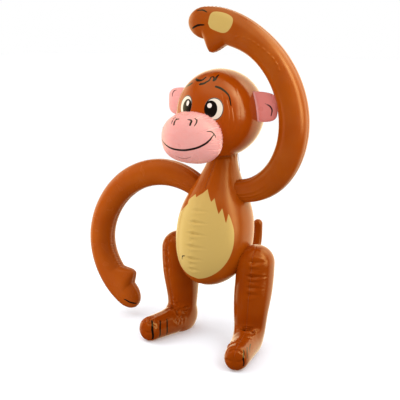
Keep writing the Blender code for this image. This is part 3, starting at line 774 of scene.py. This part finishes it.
def make_ear(name, side):
    """A flat pad on the head's side, gathered along its edge and drawn in beside the head."""
    root = math.sqrt(HEAD_RADIUS ** 2 - (EAR_HEIGHT / 2) ** 2) - EAR_ROOT
    centre = HEAD_CENTRE + (0, 0, EAR_RISE)
    length = HEAD_RADIUS + EAR_LENGTH - root
    share = np.sin(np.pi / 2 * np.linspace(0, 1, 70))
    angle, share = np.meshgrid(np.linspace(0, math.tau, 96, endpoint=False), np.append(0, share))
    tall, thick = ear_half_height(share), ear_half_thickness(share)
    tall[0], thick[0] = 0, 0
    rings = centre + np.stack([side * (root + length * share), thick * np.sin(angle),
                               tall * np.cos(angle)], -1)
    piece = skin(name, rings, pink_vinyl)
    flat = points_of(piece)
    rim = packed(EAR_HEIGHT / 2 * (1 - np.abs(np.cos(angle))) * (1 - share) ** 0.5)
    depth = gathers(packed(share) * length, rim, 0.012, length, 5 * MM, 5 * MM, 0.6 * MM, 31 + side)
    from_head = off_head(flat)
    depth += pinch(from_head - 5 * MM, 1.6 * MM, 0.7 * MM)
    path, widths = EAR_PRINTS[side]
    out, up = smooth_path(path).T * MM
    reach = np.clip((np.abs(out) - root) / length, 0, 0.999)
    drawn = centre + np.stack([out, -ear_half_thickness(reach), up], 1)
    ink = line_gap(flat * (1, 0, 1), drawn * (1, 0, 1), widths)
    ink = np.where(flat[:, 1] > centre[1], 1.0, ink)
    # The left ear is painted a darker rose as shade; the right one is the plain pink sheet.
    rose = 3 * MM - from_head if side > 0 else np.full(len(flat), 1.0)
    print_and_paint_layers(piece, ink_print=ink, rose_print=rose)
    press(piece, depth)
    edge = [centre + (side * (root + length * s), 0, up * ear_half_height(s))
            for up, row in ((1, share[2:, 0]), (-1, share[-2:1:-1, 0])) for s in row]
    return piece, [np.array(edge)]


# ---------------------------------------------------------------- torso
# The tan front: a jagged top edge, then a smooth edge down one side, round the seat and up.
# Places are degrees round from the front weld towards the left side, and rise in millimetres.
BELLY_JAGS = ((-48.0, 118.0), (-44.5, 131.0), (-41.1, 124.5), (-25.5, 139.8), (-28.3, 147.5),
              (-15.8, 158.9), (-11.0, 153.2), (7.4, 170.0), (20.4, 149.3), (25.0, 156.5), (34.8, 130.8),
              (39.8, 141.6), (47.0, 116.0), (50.0, 134.3))
BELLY_EDGE = ((50.0, 134.3), (54.6, 123.1), (60.5, 103.2), (61.9, 75.7), (58.3, 50.6), (49.0, 31.4),
              (32.6, 19.3), (11.8, 14.5), (-6.7, 16.2), (-27.0, 21.0), (-43.0, 33.0), (-53.0, 52.0),
              (-57.0, 78.0), (-54.5, 103.0), (-48.0, 118.0))
NAVEL = (((-23.1, 43.4), (-20.4, 49.2), (-13.6, 51.0)), (1.6, 2.6, 1.4))
# Creases across the front weld: rise, reach and depth in millimetres.
BELLY_CREASES = ((132, 112, 92, 82, 70, 49, 40, 30), (24, 30, 30, 14, 32, 26, 14, 20),
                 (2.4, 3.4, 3.4, 1.8, 3.7, 3.4, 1.8, 2.4))
# The front and the back weld. The front weld is printed over on the tan front, so its bead is only
# laid above that.
TORSO_WELDS, BEAD_STARTS = (0, 180), (0.170, 0.004)


def make_torso():
    """The egg of the body, with its tan front, the creased ridge of its front weld, and its neck
    pleated into the head."""
    turns = np.linspace(-180, 180, 320, endpoint=False)
    low = BELLY_RISE * (1 - np.cos(np.pi / 2 * np.linspace(0, 1, 80, endpoint=False)))
    high = np.linspace(BELLY_RISE, TORSO_LENGTH, 150)
    turn, rise = np.meshgrid(turns, np.concatenate([low, high, high[-1:]]))
    rings = on_torso(turn, rise)
    rings[-1] = on_torso(0.0, np.array(TORSO_LENGTH), -NECK_RADIUS)
    piece = skin("torso_skin", rings, torso_vinyl)
    turn, rise = packed(turn), packed(rise)
    radius = torso_radius(rise)
    off_front, off_back = (radius * np.radians((turn - weld + 180) % 360 - 180)
                           for weld in TORSO_WELDS)
    depth = pinch(off_front, 4.0 * MM, 0.9 * MM) + pinch(off_back, 4.0 * MM, 0.9 * MM)
    places, reaches, depths = np.array(BELLY_CREASES) * MM
    # The creases reach further to the left side than to the right.
    off = np.where(off_front > 0, off_front, 1.6 * off_front)
    depth += creases(rise, off, places, reaches, depths, 2.3 * MM)
    # The front sheets meet in a low ridge, which the lamps light on one side only.
    depth += 2.4 * MM * np.exp(-np.abs(off_front) / (10 * MM)) * hump(rise, 0.075, 0.075, 0.085, 0.5)
    depth += gathers(rise, off_back, 0.02, 0.15, 11 * MM, 14 * MM, 1.2 * MM, 44)
    # The neck is gathered into the head, which folds it into upright pleats.
    pleated = np.clip((rise - 0.84 * TORSO_LENGTH) / (0.14 * TORSO_LENGTH), 0, 1) ** 2
    round_it = np.radians(turn)
    depth += pleated * 0.4 * MM * np.cos(round_it * 17 + 1.3 * np.sin(round_it * 3))
    depth += pinch(off_head(points_of(piece)) - 1 * MM, 2.4 * MM, 1.3 * MM)
    flat = np.stack([np.radians(turn) * BELLY_RADIUS, rise], 1)
    outline = np.concatenate([np.array(BELLY_JAGS[:-1]), smooth_path(BELLY_EDGE)[:-1]])
    outline = np.stack([np.radians(outline[:, 0]) * BELLY_RADIUS, outline[:, 1] * MM], 1)
    navel = smooth_path(NAVEL[0])
    navel = on_torso(navel[:, 0], navel[:, 1] * MM)
    print_and_paint_layers(piece, tan_print=patch_gap(flat, outline),
                 ink_print=line_gap(points_of(piece), navel, NAVEL[1]))
    press(piece, depth)
    # A ring of weld runs round the neck where it meets the head.
    ring = []
    up = np.linspace(0.85 * TORSO_LENGTH, TORSO_LENGTH, 200)
    for around in np.linspace(-180, 180, 61):
        places = on_torso(np.full(200, around), up)
        ring.append(places[np.argmin(off_head(places) > 0)])
    ring[-1] = ring[0]
    beads = [on_torso(np.full(90, float(weld)), np.linspace(low, 0.93 * TORSO_LENGTH, 90), -0.8 * MM)
             for weld, low in zip(TORSO_WELDS, BEAD_STARTS)]
    return piece, [np.array(ring)] + beads


# ---------------------------------------------------------------- arms, legs and tail
LIMB_SKIN, WELD_BEAD = limb_tree(), weld_tree()


def directions(line):
    """Unit direction along a line, at each of its points."""
    run = np.gradient(line, axis=0)
    return run / np.linalg.norm(run, axis=1)[:, None]


def limb(name, line, sizes, place, sides, material):
    """A limb's skin, and for each of its points the share of its length and the turn round it from
    its left. Line gives (out, up) points, sizes the half widths and half thickness at shares of it,
    and place turns (out, up, across) into points."""
    share, run = np.linspace(0, 1, len(line)), directions(line)
    left, right, thick = (np.array(size) for size in sizes(share))
    left[0] = right[0] = thick[0] = 0
    spine = place(line[:, 0], line[:, 1], 0 * share)
    sideways = place(line[:, 0] - run[:, 1], line[:, 1] + run[:, 0], 0 * share) - spine
    through = place(line[:, 0], line[:, 1], 0 * share + 1) - spine
    guide = lines_mesh(name, [spine])
    fields = {"left": left, "right": right, "thick": thick, "spine": spine, "sideways": sideways,
              "through": through}
    for title, values in {"share": share, **fields}.items():
        kind, value = ("FLOAT", "value") if values.ndim == 1 else ("FLOAT_VECTOR", "vector")
        guide.attributes.new(title, kind, "POINT").data.foreach_set(value, values.ravel())
    piece = grown(name, guide, LIMB_SKIN, {"Sides": sides, "Vinyl": material})
    for title in fields:
        piece.data.attributes.remove(piece.data.attributes[title])
    return piece, marks_of(piece, "share"), marks_of(piece, "around")


def on_limb(line, sizes, place, share, around):
    """Places on a limb's skin, from shares of its length and turns round it from its left."""
    fine = np.linspace(0, 1, len(line))
    out, up, run_out, run_up = (np.interp(share, fine, column)
                                for column in (*line.T, *directions(line).T))
    left, right, thick = sizes(share)
    wide = np.cos(math.tau * around)
    wide = wide * np.where(wide > 0, left, right)
    return place(out - run_up * wide, up + run_out * wide, thick * np.sin(math.tau * around))


def off_weld(around, weld, girth):
    """Distance round a limb from a weld that runs along it."""
    return girth * np.abs((around - weld + 0.5) % 1 - 0.5)


def but_tip(depth, share, ending=30):
    """Depths that fade out at a limb's tip, over the ending-th part of its length."""
    return depth * np.clip((1 - share) * ending, 0, 1)


def seam_of(piece, around):
    """The line of points at one place around a limb, from its root to its tip."""
    share, at = marks_of(piece, "share"), marks_of(piece, "around")
    row = np.flatnonzero((np.abs(at - around) < 1e-4) & (share > 0.001) & (share < 0.9995))
    return points_of(piece)[row[np.argsort(share[row])]]


def arm_place(side, root_share, root_inset, swept_back):
    """Where a point (out, up, across) of an arm's own upright plane is."""
    rise = TORSO_LENGTH * root_share
    root = from_torso([side * (float(torso_radius(rise)) - root_inset), 0, rise])
    turn = math.radians(swept_back)

    def place(out, up, across):
        return root + np.stack([side * (out * math.cos(turn) - across * math.sin(turn)),
                                out * math.sin(turn) + across * math.cos(turn), up], -1)
    return place


# Prints on the hands, as (share of the arm, millimetres to the inner side of its middle).
PALM = ((0.894, -0.9), (0.893, -17.0), (0.876, -22.0), (0.836, -22.8), (0.808, -19.0), (0.799, -8.5),
        (0.808, 3.1), (0.833, 8.4), (0.879, 6.3))
RAISED_FINGERS = [(((0.910, -18.5), (0.932, -21.0), (0.952, -19.5)), (1.8, 3.2, 2.2)),
                  (((0.910, 2.5), (0.938, 4.4), (0.968, 10.0)), (2.0, 3.6, 3.0))]
LOWERED_FINGERS = [(((0.950, -2.5), (0.958, -0.5), (0.973, 0.0), (0.988, 1.6), (0.996, 2.4)),
                    (1.4, 3.0, 3.7, 3.7, 2.4))]
# Thin ridges along the raised arm's front sheet: places like those of the toes' lines. Their
# height goes up and down along the arm, by this many radians over its length.
RAISED_RIDGES = [((0.767, -0.229), (0.735, -0.260), (0.704, -0.281), (0.675, -0.292)),
                 ((0.663, -0.302), (0.635, -0.312), (0.613, -0.323), (0.590, -0.323), (0.569, -0.312))]
RIDGE_BEATS = 300
# Distances round an arm, a leg and the tail are measured on rings of their own usual size.
ARM_GIRTH, LEG_GIRTH, TAIL_GIRTH = math.tau * 22 * MM, math.tau * 25 * MM, math.tau * TAIL_RADIUS


def make_arm(name, side, root_share, root_inset, headings, swept_back, palm_in_front, fingers, vinyl,
             seed, ridges=()):
    """An arm of two sheets welded along its inner and its outer curve."""
    line = curled_line(ARM_LENGTH, headings, 480)
    thumb_left = headings[-1][1] > headings[0][1]

    def halves(share):
        """Half width to the inner and to the outer side, and half thickness."""
        close = rounded_end(share, ARM_LENGTH, FINGER_ROUND, FINGER_POWER)
        thumb = THUMB_HEIGHT * hump(share, THUMB_SHARE, THUMB_RISE_SHARE, THUMB_FALL_SHARE)
        wide = eased(ARM_WIDTHS, share) * close
        return wide + thumb, wide, eased(ARM_THICKNESSES, share) * close

    def sizes(share):
        inner_half, outer_half, thick = halves(share)
        return (inner_half, outer_half, thick) if thumb_left else (outer_half, inner_half, thick)

    place = arm_place(side, root_share, root_inset, swept_back)
    piece, share, around = limb(name, line, sizes, place, 160, vinyl)
    inner, outer = (0.0, 0.5) if thumb_left else (0.5, 0.0)
    off_inner, off_outer = off_weld(around, inner, ARM_GIRTH), off_weld(around, outer, ARM_GIRTH)
    along = share * ARM_LENGTH
    depth = pinch(off_inner, 3.5 * MM, 0.8 * MM) + pinch(off_outer, 3.0 * MM, 0.5 * MM)
    depth += gathered(along, seed, [(off_inner, 0.03, 0.40, 8.5, 11, 0.9),
                                    (off_inner, 0.30, 0.46, 6.0, 12, 1.2),
                                    (off_outer, 0.39, ARM_LENGTH, 6.0, 9, 0.9)])
    # The root is gathered into the shoulder, which folds it lengthwise.
    pleated = np.clip(1 - share / 0.17, 0, 1)
    uneven = 0.5 * np.sin(math.tau * around * 3)
    depth += pleated * 0.8 * MM * np.cos(math.tau * (around * 13 + uneven))
    for ridge in ridges:
        at, turned = smooth_path(ridge).T
        off_ridge = line_gap(points_of(piece), on_limb(line, sizes, place, at, turned), [0])
        depth -= pinch(off_ridge, 1.4 * MM, 1.2 * MM) * (0.6 + 0.4 * np.sin(share * RIDGE_BEATS))
    toward = np.cos(math.tau * (around - inner))
    inner_half, outer_half, _ = halves(share)
    aside = toward * np.where(toward > 0, inner_half, outer_half)
    palm = smooth_path(PALM + PALM[:1])[:-1] * (ARM_LENGTH, MM)
    tan = patch_gap(np.stack([along, aside], 1), palm)
    tan[(np.sin(math.tau * around) < 0) != palm_in_front] = 1.0
    drawn = []
    for path, widths in fingers:
        at, off_middle = smooth_path(path).T
        inner_half, outer_half, _ = halves(at)
        half = np.where(off_middle > 0, inner_half, outer_half)
        turned = np.arccos(np.clip(off_middle * MM / half, -1, 1)) / math.tau
        drawn += [(on_limb(line, sizes, place, at, inner + sheet * turned), widths)
                  for sheet in (-1, 1)]
    print_and_paint_layers(piece, tan_print=tan, ink_print=drawn_gap(points_of(piece), drawn))
    press(piece, but_tip(depth, share))
    return piece, [seam_of(piece, inner), seam_of(piece, outer)]


# The toes' lines of each foot: places as (share of the leg, turns round it from its top weld),
# widths in millimetres, and the sheets they are printed on, of which 1 faces the other way than -1.
LEFT_TOES = [(((0.953, 0.102), (0.981, 0.182), (0.978, 0.318)), (2.2, 2.8, 2.4), (1,)),
             (((0.900, 0.114), (0.942, 0.159), (0.958, 0.216)), (2.0, 2.8, 2.0), (1,)),
             (((0.836, 0.125), (0.881, 0.148), (0.903, 0.182)), (1.8, 2.4, 1.8), (1,))]
RIGHT_TOES = [(((0.950, 0.080), (0.972, 0.205), (0.963, 0.364)), (2.8, 4.2, 3.6), (-1, 1)),
              (((0.890, 0.120), (0.914, 0.220), (0.910, 0.350)), (2.6, 3.6, 2.6), (-1, 1)),
              (((0.831, 0.130), (0.851, 0.228), (0.845, 0.350)), (2.4, 3.2, 2.4), (-1, 1))]
# Folds over the toe cap, as places like those of the toes' lines.
CAP_FOLDS = [((0.978, -0.10), (0.974, -0.05), (0.972, 0.0), (0.973, 0.05), (0.975, 0.09)),
             ((0.985, -0.25), (0.995, -0.25), (1.0, 0.0), (0.995, 0.25), (0.985, 0.22))]
# Folds across the knees: shares of the leg, reach to the outer side and depth in millimetres.
LEFT_KNEE = ((0.082, 0.135, 0.195, 0.240, 0.285, 0.332), (24, 16, 26, 16, 20, 16),
             (4.4, 2.4, 4.2, 2.0, 3.2, 2.8))
RIGHT_KNEE = ((0.05, 0.10, 0.135, 0.19, 0.25, 0.28), (20, 12, 16, 10, 18, 12),
              (1.9, 1.2, 1.9, 1.0, 1.7, 1.0))
# Where the ankle's bend crumples the sheet: share of the leg, turns round it and millimetres across.
LEFT_CRUMPLES = [(0.745, 0.02, 15), (0.867, -0.07, 11)]
RIGHT_CRUMPLES = [(0.56, -0.09, 17), (0.70, -0.16, 14), (0.96, -0.05, 10)]


def make_leg(name, side, toe_out, stride, inward, knee, toes, crumples, seed):
    """A boot-shaped leg of two side sheets, welded down the shin, round the toes and up the back."""
    line = leg_line(420, stride)
    length = np.linalg.norm(np.diff(line, axis=0), axis=1).sum()
    toes_run = FOOT_LENGTH - ANKLE_DEPTH / 2 - INSTEP_BEND
    heel = 1 - (toes_run + INSTEP_BEND * math.pi / 4) / length
    depths = ((0.0, THIGH_RADIUS), (THIGH_SHARE, THIGH_RADIUS), (ANKLE_SHARE, ANKLE_DEPTH / 2),
              (heel, ANKLE_DEPTH / 2), (BALL_SHARE, FOOT_HEIGHT / 2), (1.0, FOOT_HEIGHT / 2))
    widths = ((0.0, THIGH_RADIUS), (THIGH_SHARE, THIGH_WIDTH / 2), (ANKLE_SHARE, ANKLE_WIDTH / 2),
              (heel, FOOT_WIDTH / 2), (1.0, TOE_WIDTH / 2))
    turn = math.radians(toe_out)

    def sizes(share):
        close = rounded_end(1 - share, length, THIGH_RADIUS)
        close = close * rounded_end(share, length, FOOT_HEIGHT / 2, TOE_POWER)
        depth, width = eased(depths, share) * close, eased(widths, share) * close
        corner = HEEL_CORNER * hump(share, heel, HEEL_SPREAD_SHARE, HEEL_SPREAD_SHARE)
        calf = CALF_FULLNESS * hump(share, CALF_SHARE, CALF_SPREAD_SHARE, CALF_SPREAD_SHARE)
        instep = INSTEP_FULLNESS * hump(share, INSTEP_SHARE, INSTEP_SPREAD_SHARE, INSTEP_SPREAD_SHARE)
        return depth + instep, depth + corner + calf, width

    def place(out, up, across):
        outward = HIP_SPREAD - inward * (1 - up / LEG_HEIGHT)
        return HOME + np.stack([side * (outward + out * math.sin(turn) + across * math.cos(turn)),
                                LEGS_BACK - out * math.cos(turn) + across * math.sin(turn), up], -1)

    piece, share, around = limb(name, line, sizes, place, 128, leg_vinyl)
    off_front, off_back = off_weld(around, 0.0, LEG_GIRTH), off_weld(around, 0.5, LEG_GIRTH)
    along, ankle = share * length, (heel - 0.02) * length
    depth = pinch(off_front, 3.0 * MM, 0.8 * MM) + pinch(off_back, 3.0 * MM, 0.8 * MM)
    # The knee's folds reach three times as far on the outer side as on the inner one.
    outer = LEG_GIRTH * ((around + 0.5) % 1 - 0.5)
    shares, reaches, deeps = np.array(knee)
    depth += creases(share, np.where(outer > 0, outer, 3 * outer), shares, reaches * MM, deeps * MM,
                     3.5 * MM / length)
    depth += gathered(along, seed + 1, [(off_front, ankle - 0.022, ankle + 0.022, 7, 20, 2.2),
                                        (off_front, 0.80 * length, length, 6, 10, 1.1),
                                        (off_back, ankle - 0.015, ankle + 0.030, 7, 10, 1.2),
                                        (off_back, 0.86 * length, length, 6, 10, 1.1)])
    flat = points_of(piece)
    for number, (at, turned, across) in enumerate(crumples):
        middle = on_limb(line, sizes, place, np.array([at]), np.array([turned]))
        depth += crumple(flat, middle, across * MM, 1.5 * MM, seed + 5 + number)
    folded = 0
    for path in CAP_FOLDS:
        fold = line_gap(flat, on_limb(line, sizes, place, *np.array(path).T), [1])
        folded += pinch(np.maximum(fold, 0), 1.8 * MM, 1.6 * MM)
    drawn = []
    for path, line_widths, sheets in toes:
        at, turned = smooth_path(path).T
        drawn += [(on_limb(line, sizes, place, at, sheet * turned), line_widths) for sheet in sheets]
    print_and_paint_layers(piece, ink_print=drawn_gap(flat, drawn))
    press(piece, but_tip(depth, share) + folded)
    # The sole is pressed flat on the ground, and the ground is where the solids' is.
    move(piece, np.maximum(points_of(piece), (-np.inf, -np.inf, 0)))
    front, back = seam_of(piece, 0.0), seam_of(piece, 0.5)
    return piece, [front, back[back[:, 2] > 1.5 * MM]]


def make_tail():
    """A thin tube in the middle plane, from the lower back to its upturned tip."""
    rise = TORSO_LENGTH * TAIL_ROOT_SHARE
    root = from_torso([0, float(torso_radius(rise)) - TAIL_ROOT_INSET, rise])

    def sizes(share):
        radius = TAIL_RADIUS * rounded_end(share, TAIL_LENGTH, TAIL_RADIUS)
        radius[0] = 0
        return radius, radius, radius

    def place(out, up, across):
        return root + np.stack([across, out, up], -1)

    line = curled_line(TAIL_LENGTH, TAIL_HEADINGS, 260)
    piece, share, around = limb("tail_skin", line, sizes, place, 40, leg_vinyl)
    off_inner, off_outer = off_weld(around, 0.0, TAIL_GIRTH), off_weld(around, 0.5, TAIL_GIRTH)
    depth = pinch(off_inner, 1.8 * MM, 0.4 * MM) + pinch(off_outer, 1.8 * MM, 0.3 * MM)
    depth += gathers(share * TAIL_LENGTH, off_inner, 0.05, 0.15, 5 * MM, 6 * MM, 0.7 * MM, 71)
    print_and_paint_layers(piece)
    press(piece, but_tip(depth, share, 20))
    return piece, [seam_of(piece, 0.0), seam_of(piece, 0.5)]


# ---------------------------------------------------------------- valve
def make_valve():
    """Flange, stem and plug of the inflation valve on the back."""
    rise, step = TORSO_LENGTH * VALVE_SHARE, 0.3 * MM
    base = np.array([0, float(torso_radius(rise)), rise])
    slope = math.atan2(float(torso_radius(rise - step) - torso_radius(rise + step)), 2 * step)
    spin = tipped(slope - math.pi / 2)
    (disc, flange), (tube, tube_length), (plug, plug_height) = VALVE_FLANGE, VALVE_STEM, VALVE_CAP
    stem, lip = flange + tube_length, 0.25 * MM
    top = stem + plug_height
    outline = [(0, -VALVE_SUNK), (disc, -VALVE_SUNK), (disc, flange - lip), (disc - lip, flange),
               (disc - 1.6 * MM, flange), (disc - 2.2 * MM, flange - 2 * lip),
               (tube + 1.2 * MM, flange - 2 * lip), (tube, flange + lip), (tube, stem - lip),
               (tube + lip, stem), (plug - lip, stem), (plug, stem + lip), (plug, top - 2 * lip),
               (plug - 2 * lip, top), (plug - 2.4 * MM, top), (plug - 3.0 * MM, top - 2 * lip),
               (0, top - 2 * lip)]
    turns = np.linspace(0, math.tau, 64, endpoint=False)
    rings = np.array([[(r * math.cos(a), r * math.sin(a), up) for a in turns] for r, up in outline])
    piece = skin("valve_skin", from_torso(rings @ spin.T + base), clear_vinyl)
    piece.data.set_sharp_from_angle(angle=math.radians(40))
    return piece


# ---------------------------------------------------------------- assembly
BEAD_RADIUS, BEAD_SIDES = 0.3 * MM, 8


def weld(name, lines, material, slot_name):
    """The raised beads along a piece's weld lines."""
    bead = grown(name, lines_mesh(name, lines), WELD_BEAD,
                 {"Bead radius": BEAD_RADIUS, "Sides": BEAD_SIDES, "Vinyl": material})
    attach(bead, "root")


def settle(piece, node, slot_name):
    """Gives a finished skin its body and hides the node it stands for. Its slot name is not used."""
    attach(piece, "root")
    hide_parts(node)


PIECES = {
    "head": make_head(),
    "muzzle": make_muzzle(),
    "ear_left": make_ear("ear_left_skin", 1),
    "ear_right": make_ear("ear_right_skin", -1),
    "torso": make_torso(),
    "arm_left": make_arm("arm_left_skin", **RAISED, palm_in_front=True, fingers=RAISED_FINGERS,
                         ridges=RAISED_RIDGES, vinyl=arm_vinyl, seed=51),
    "arm_right": make_arm("arm_right_skin", **LOWERED, palm_in_front=False, fingers=LOWERED_FINGERS,
                          vinyl=creped_vinyl, seed=61),
    "leg_left": make_leg("leg_left_skin", **LEFT_LEG, knee=LEFT_KNEE, toes=LEFT_TOES,
                         crumples=LEFT_CRUMPLES, seed=81),
    "leg_right": make_leg("leg_right_skin", **RIGHT_LEG, knee=RIGHT_KNEE, toes=RIGHT_TOES,
                          crumples=RIGHT_CRUMPLES, seed=91),
    "tail": make_tail()}
for node, (piece, lines) in PIECES.items():
    pink = node in ("muzzle", "ear_left", "ear_right")
    sheet, slot_name = (pink_bead, "pink_vinyl") if pink else (brown_bead, "brown_vinyl")
    settle(piece, node, slot_name)
    weld(node + "_weld", lines, sheet, slot_name)
settle(make_valve(), "valve", "valve_vinyl")


# ---------------------------------------------------------------- studio
def facing(turn, tilt):
    """Unit direction out from the figure: degrees round from its front towards its left, and up."""
    turn, tilt = math.radians(turn), math.radians(tilt)
    return Vector((math.sin(turn) * math.cos(tilt), -math.cos(turn) * math.cos(tilt), math.sin(tilt)))


def aimed(name, data, aim, turn, tilt, distance):
    """Places a lamp or the camera where it looks at its aim from the given side."""
    item = placed(name, data)
    item.location = Vector(aim) + facing(turn, tilt) * distance
    item.rotation_euler = facing(turn, tilt).to_track_quat("Z", "Y").to_euler()
    return item


# A lamp's edge, and how far the floor reaches to each side.
LAMP_SIZE, FLOOR_REACH = 0.6, 12.0


def lamp(name, turn, tilt, distance, brightness, shadows):
    """A softbox that faces the figure's head. It lights the figure without being mirrored in it."""
    light = bpy.data.lights.new(name, "AREA")
    light.size, light.use_shadow = LAMP_SIZE, shadows
    light.energy = brightness * math.pi * distance ** 2
    item = aimed(name, light, HEAD_CENTRE, turn, tilt, distance)
    item.visible_camera = item.visible_glossy = False


def make_floor():
    """A plain, very pale matt floor, which gives off a little light of its own so that it stays
    pale away from the lamps."""
    made, tree, shader = new_material("matt_white_paper")
    grain = add(tree, "ShaderNodeTexNoise", {"Scale": 3.0, "Detail": 1.0}).outputs["Fac"]
    fill(tree, shader, {"Base Color": mixed(tree, grain, linear("#EEF5FD"), linear("#F3F9FF")),
                        "Roughness": 0.9, "Specular IOR Level": 0.1,
                        "Emission Color": (1.0, 0.95, 0.85, 1.0), "Emission Strength": 0.11})
    mesh = bpy.data.meshes.new("floor")
    corners = FLOOR_REACH * np.array([(-1, -1, 0), (1, -1, 0), (1, 1, 0), (-1, 1, 0)])
    mesh.from_pydata(corners.tolist(), [], [(0, 1, 2, 3)])
    mesh.materials.append(made)
    floor = placed("floor", mesh)
    floor.visible_glossy = floor.visible_diffuse = False


# What the gloss mirrors: the middle (degrees round from the figure's front, and up), half width and
# half height in degrees, softness of the edges in degrees, and brightness.
MIRRORED = [(92.0, 24.0, 11.0, 31.0, 11.0, 5.4),  # a tall window on the figure's left
            (-98.0, 0.0, 26.0, 26.0, 14.0, 1.4),  # a wide window on its right
            (120.0, 55.0, 45.0, 22.0, 14.0, 2.2),  # a pale panel high on its left
            (35.0, 84.0, 200.0, 34.0, 12.0, 1.0)]  # the ceiling
# The round patch of wall behind the figure, the softness of its edge in radians, and between which
# degrees up it fades to a share of its brightness.
BACK_WALL = {"turn": 175.5, "tilt": -2.7, "half_angle": 55.6, "brightness": 2.2, "soft": 0.2,
             "fades": (-48.0, -14.0), "low_share": 0.25}
# Daylight through cream blinds, a buff paper wall, and the even light of the room.
WINDOW_CREAM, WALL_BUFF, ROOM_WHITE = (1.0, 0.84, 0.50), (1.0, 0.79, 0.50), (0.94, 0.92, 0.91)
# The even light's brightness from the sides, and how much more comes from straight above.
ROOM_LEVEL, ROOM_RISE = 0.86, 0.36
# What the gloss mirrors where nothing stands.
DIM = 0.02


def make_surroundings():
    """The light around the figure. Its gloss mirrors a buff wall behind it, a window on each side, a
    high panel and the ceiling. The rest of it gets a soft even light, and past the floor the camera
    sees plain white."""
    world = bpy.data.worlds.new("studio")
    bpy.context.scene.world = world
    world.use_nodes = True
    world.cycles.sampling_method = "NONE"
    tree = world.node_tree
    tree.nodes.clear()

    def fig(operation, *values):
        """What one operation makes of numbers, in this tree."""
        return figure(tree, operation, *values)

    way = add(tree, "ShaderNodeTexCoord").outputs["Generated"]
    axes = add(tree, "ShaderNodeSeparateXYZ", {0: way}).outputs
    turn = fig("DEGREES", fig("ARCTAN2", axes["X"], fig("MULTIPLY", axes["Y"], -1.0)))
    tilt = fig("DEGREES", fig("ARCSINE", axes["Z"]))
    mirrored = DIM
    for middle, height, half_width, half_height, soft, brightness in MIRRORED:
        masks = [ramp(tree, fig("ABSOLUTE", fig("SUBTRACT", angle, at)), half + soft, half - soft,
                      kind="SMOOTHSTEP")
                 for angle, at, half in ((turn, middle, half_width), (tilt, height, half_height))]
        mirrored = fig("MULTIPLY_ADD", fig("MULTIPLY", *masks), brightness, mirrored)
    to_wall = add(tree, "ShaderNodeVectorMath", {
        0: way, 1: facing(BACK_WALL["turn"], BACK_WALL["tilt"])}, operation="DOT_PRODUCT")
    half, soft = math.radians(BACK_WALL["half_angle"]), BACK_WALL["soft"]
    wall = ramp(tree, to_wall.outputs["Value"], math.cos(half + soft), math.cos(half - soft),
                kind="SMOOTHSTEP")
    low = ramp(tree, tilt, *BACK_WALL["fades"], BACK_WALL["low_share"])
    wall = fig("MULTIPLY", fig("MULTIPLY", wall, low), BACK_WALL["brightness"])
    mirrored = summed(tree, scaled(tree, WALL_BUFF, wall), scaled(tree, WINDOW_CREAM, mirrored))
    even = scaled(tree, ROOM_WHITE, fig("MULTIPLY_ADD", axes["Z"], ROOM_RISE, ROOM_LEVEL))
    rays, shown = add(tree, "ShaderNodeLightPath").outputs, even
    for ray, seen in (("Is Glossy Ray", mirrored), ("Is Camera Ray", (1, 1, 1))):
        shown = add(tree, "ShaderNodeMix", {0: rays[ray], 4: shown, 5: seen},
                    data_type="VECTOR").outputs[1]
    glow = add(tree, "ShaderNodeBackground", {"Strength": 1.0, "Color": shown})
    add(tree, "ShaderNodeOutputWorld", {"Surface": glow.outputs[0]})


def make_camera():
    """The camera at the photograph's viewing angle."""
    lens = bpy.data.cameras.new("camera")
    lens.lens, lens.sensor_width = PHOTO_LENS, PHOTO_FILM
    bpy.context.scene.camera = aimed("camera", lens, HEAD_CENTRE + PHOTO_AIM, PHOTO_TURN, PHOTO_TILT,
                                     PHOTO_DISTANCE)


make_floor()
make_surroundings()
make_camera()
lamp("softbox_left", -72, 20, 0.7, 1.9, True)
lamp("softbox_right", 82, 20, 0.6, 2.0, True)
lamp("softbox_low", -45, -28, 0.8, 1.1, False)
bpy.context.scene.view_settings.view_transform = "Standard"
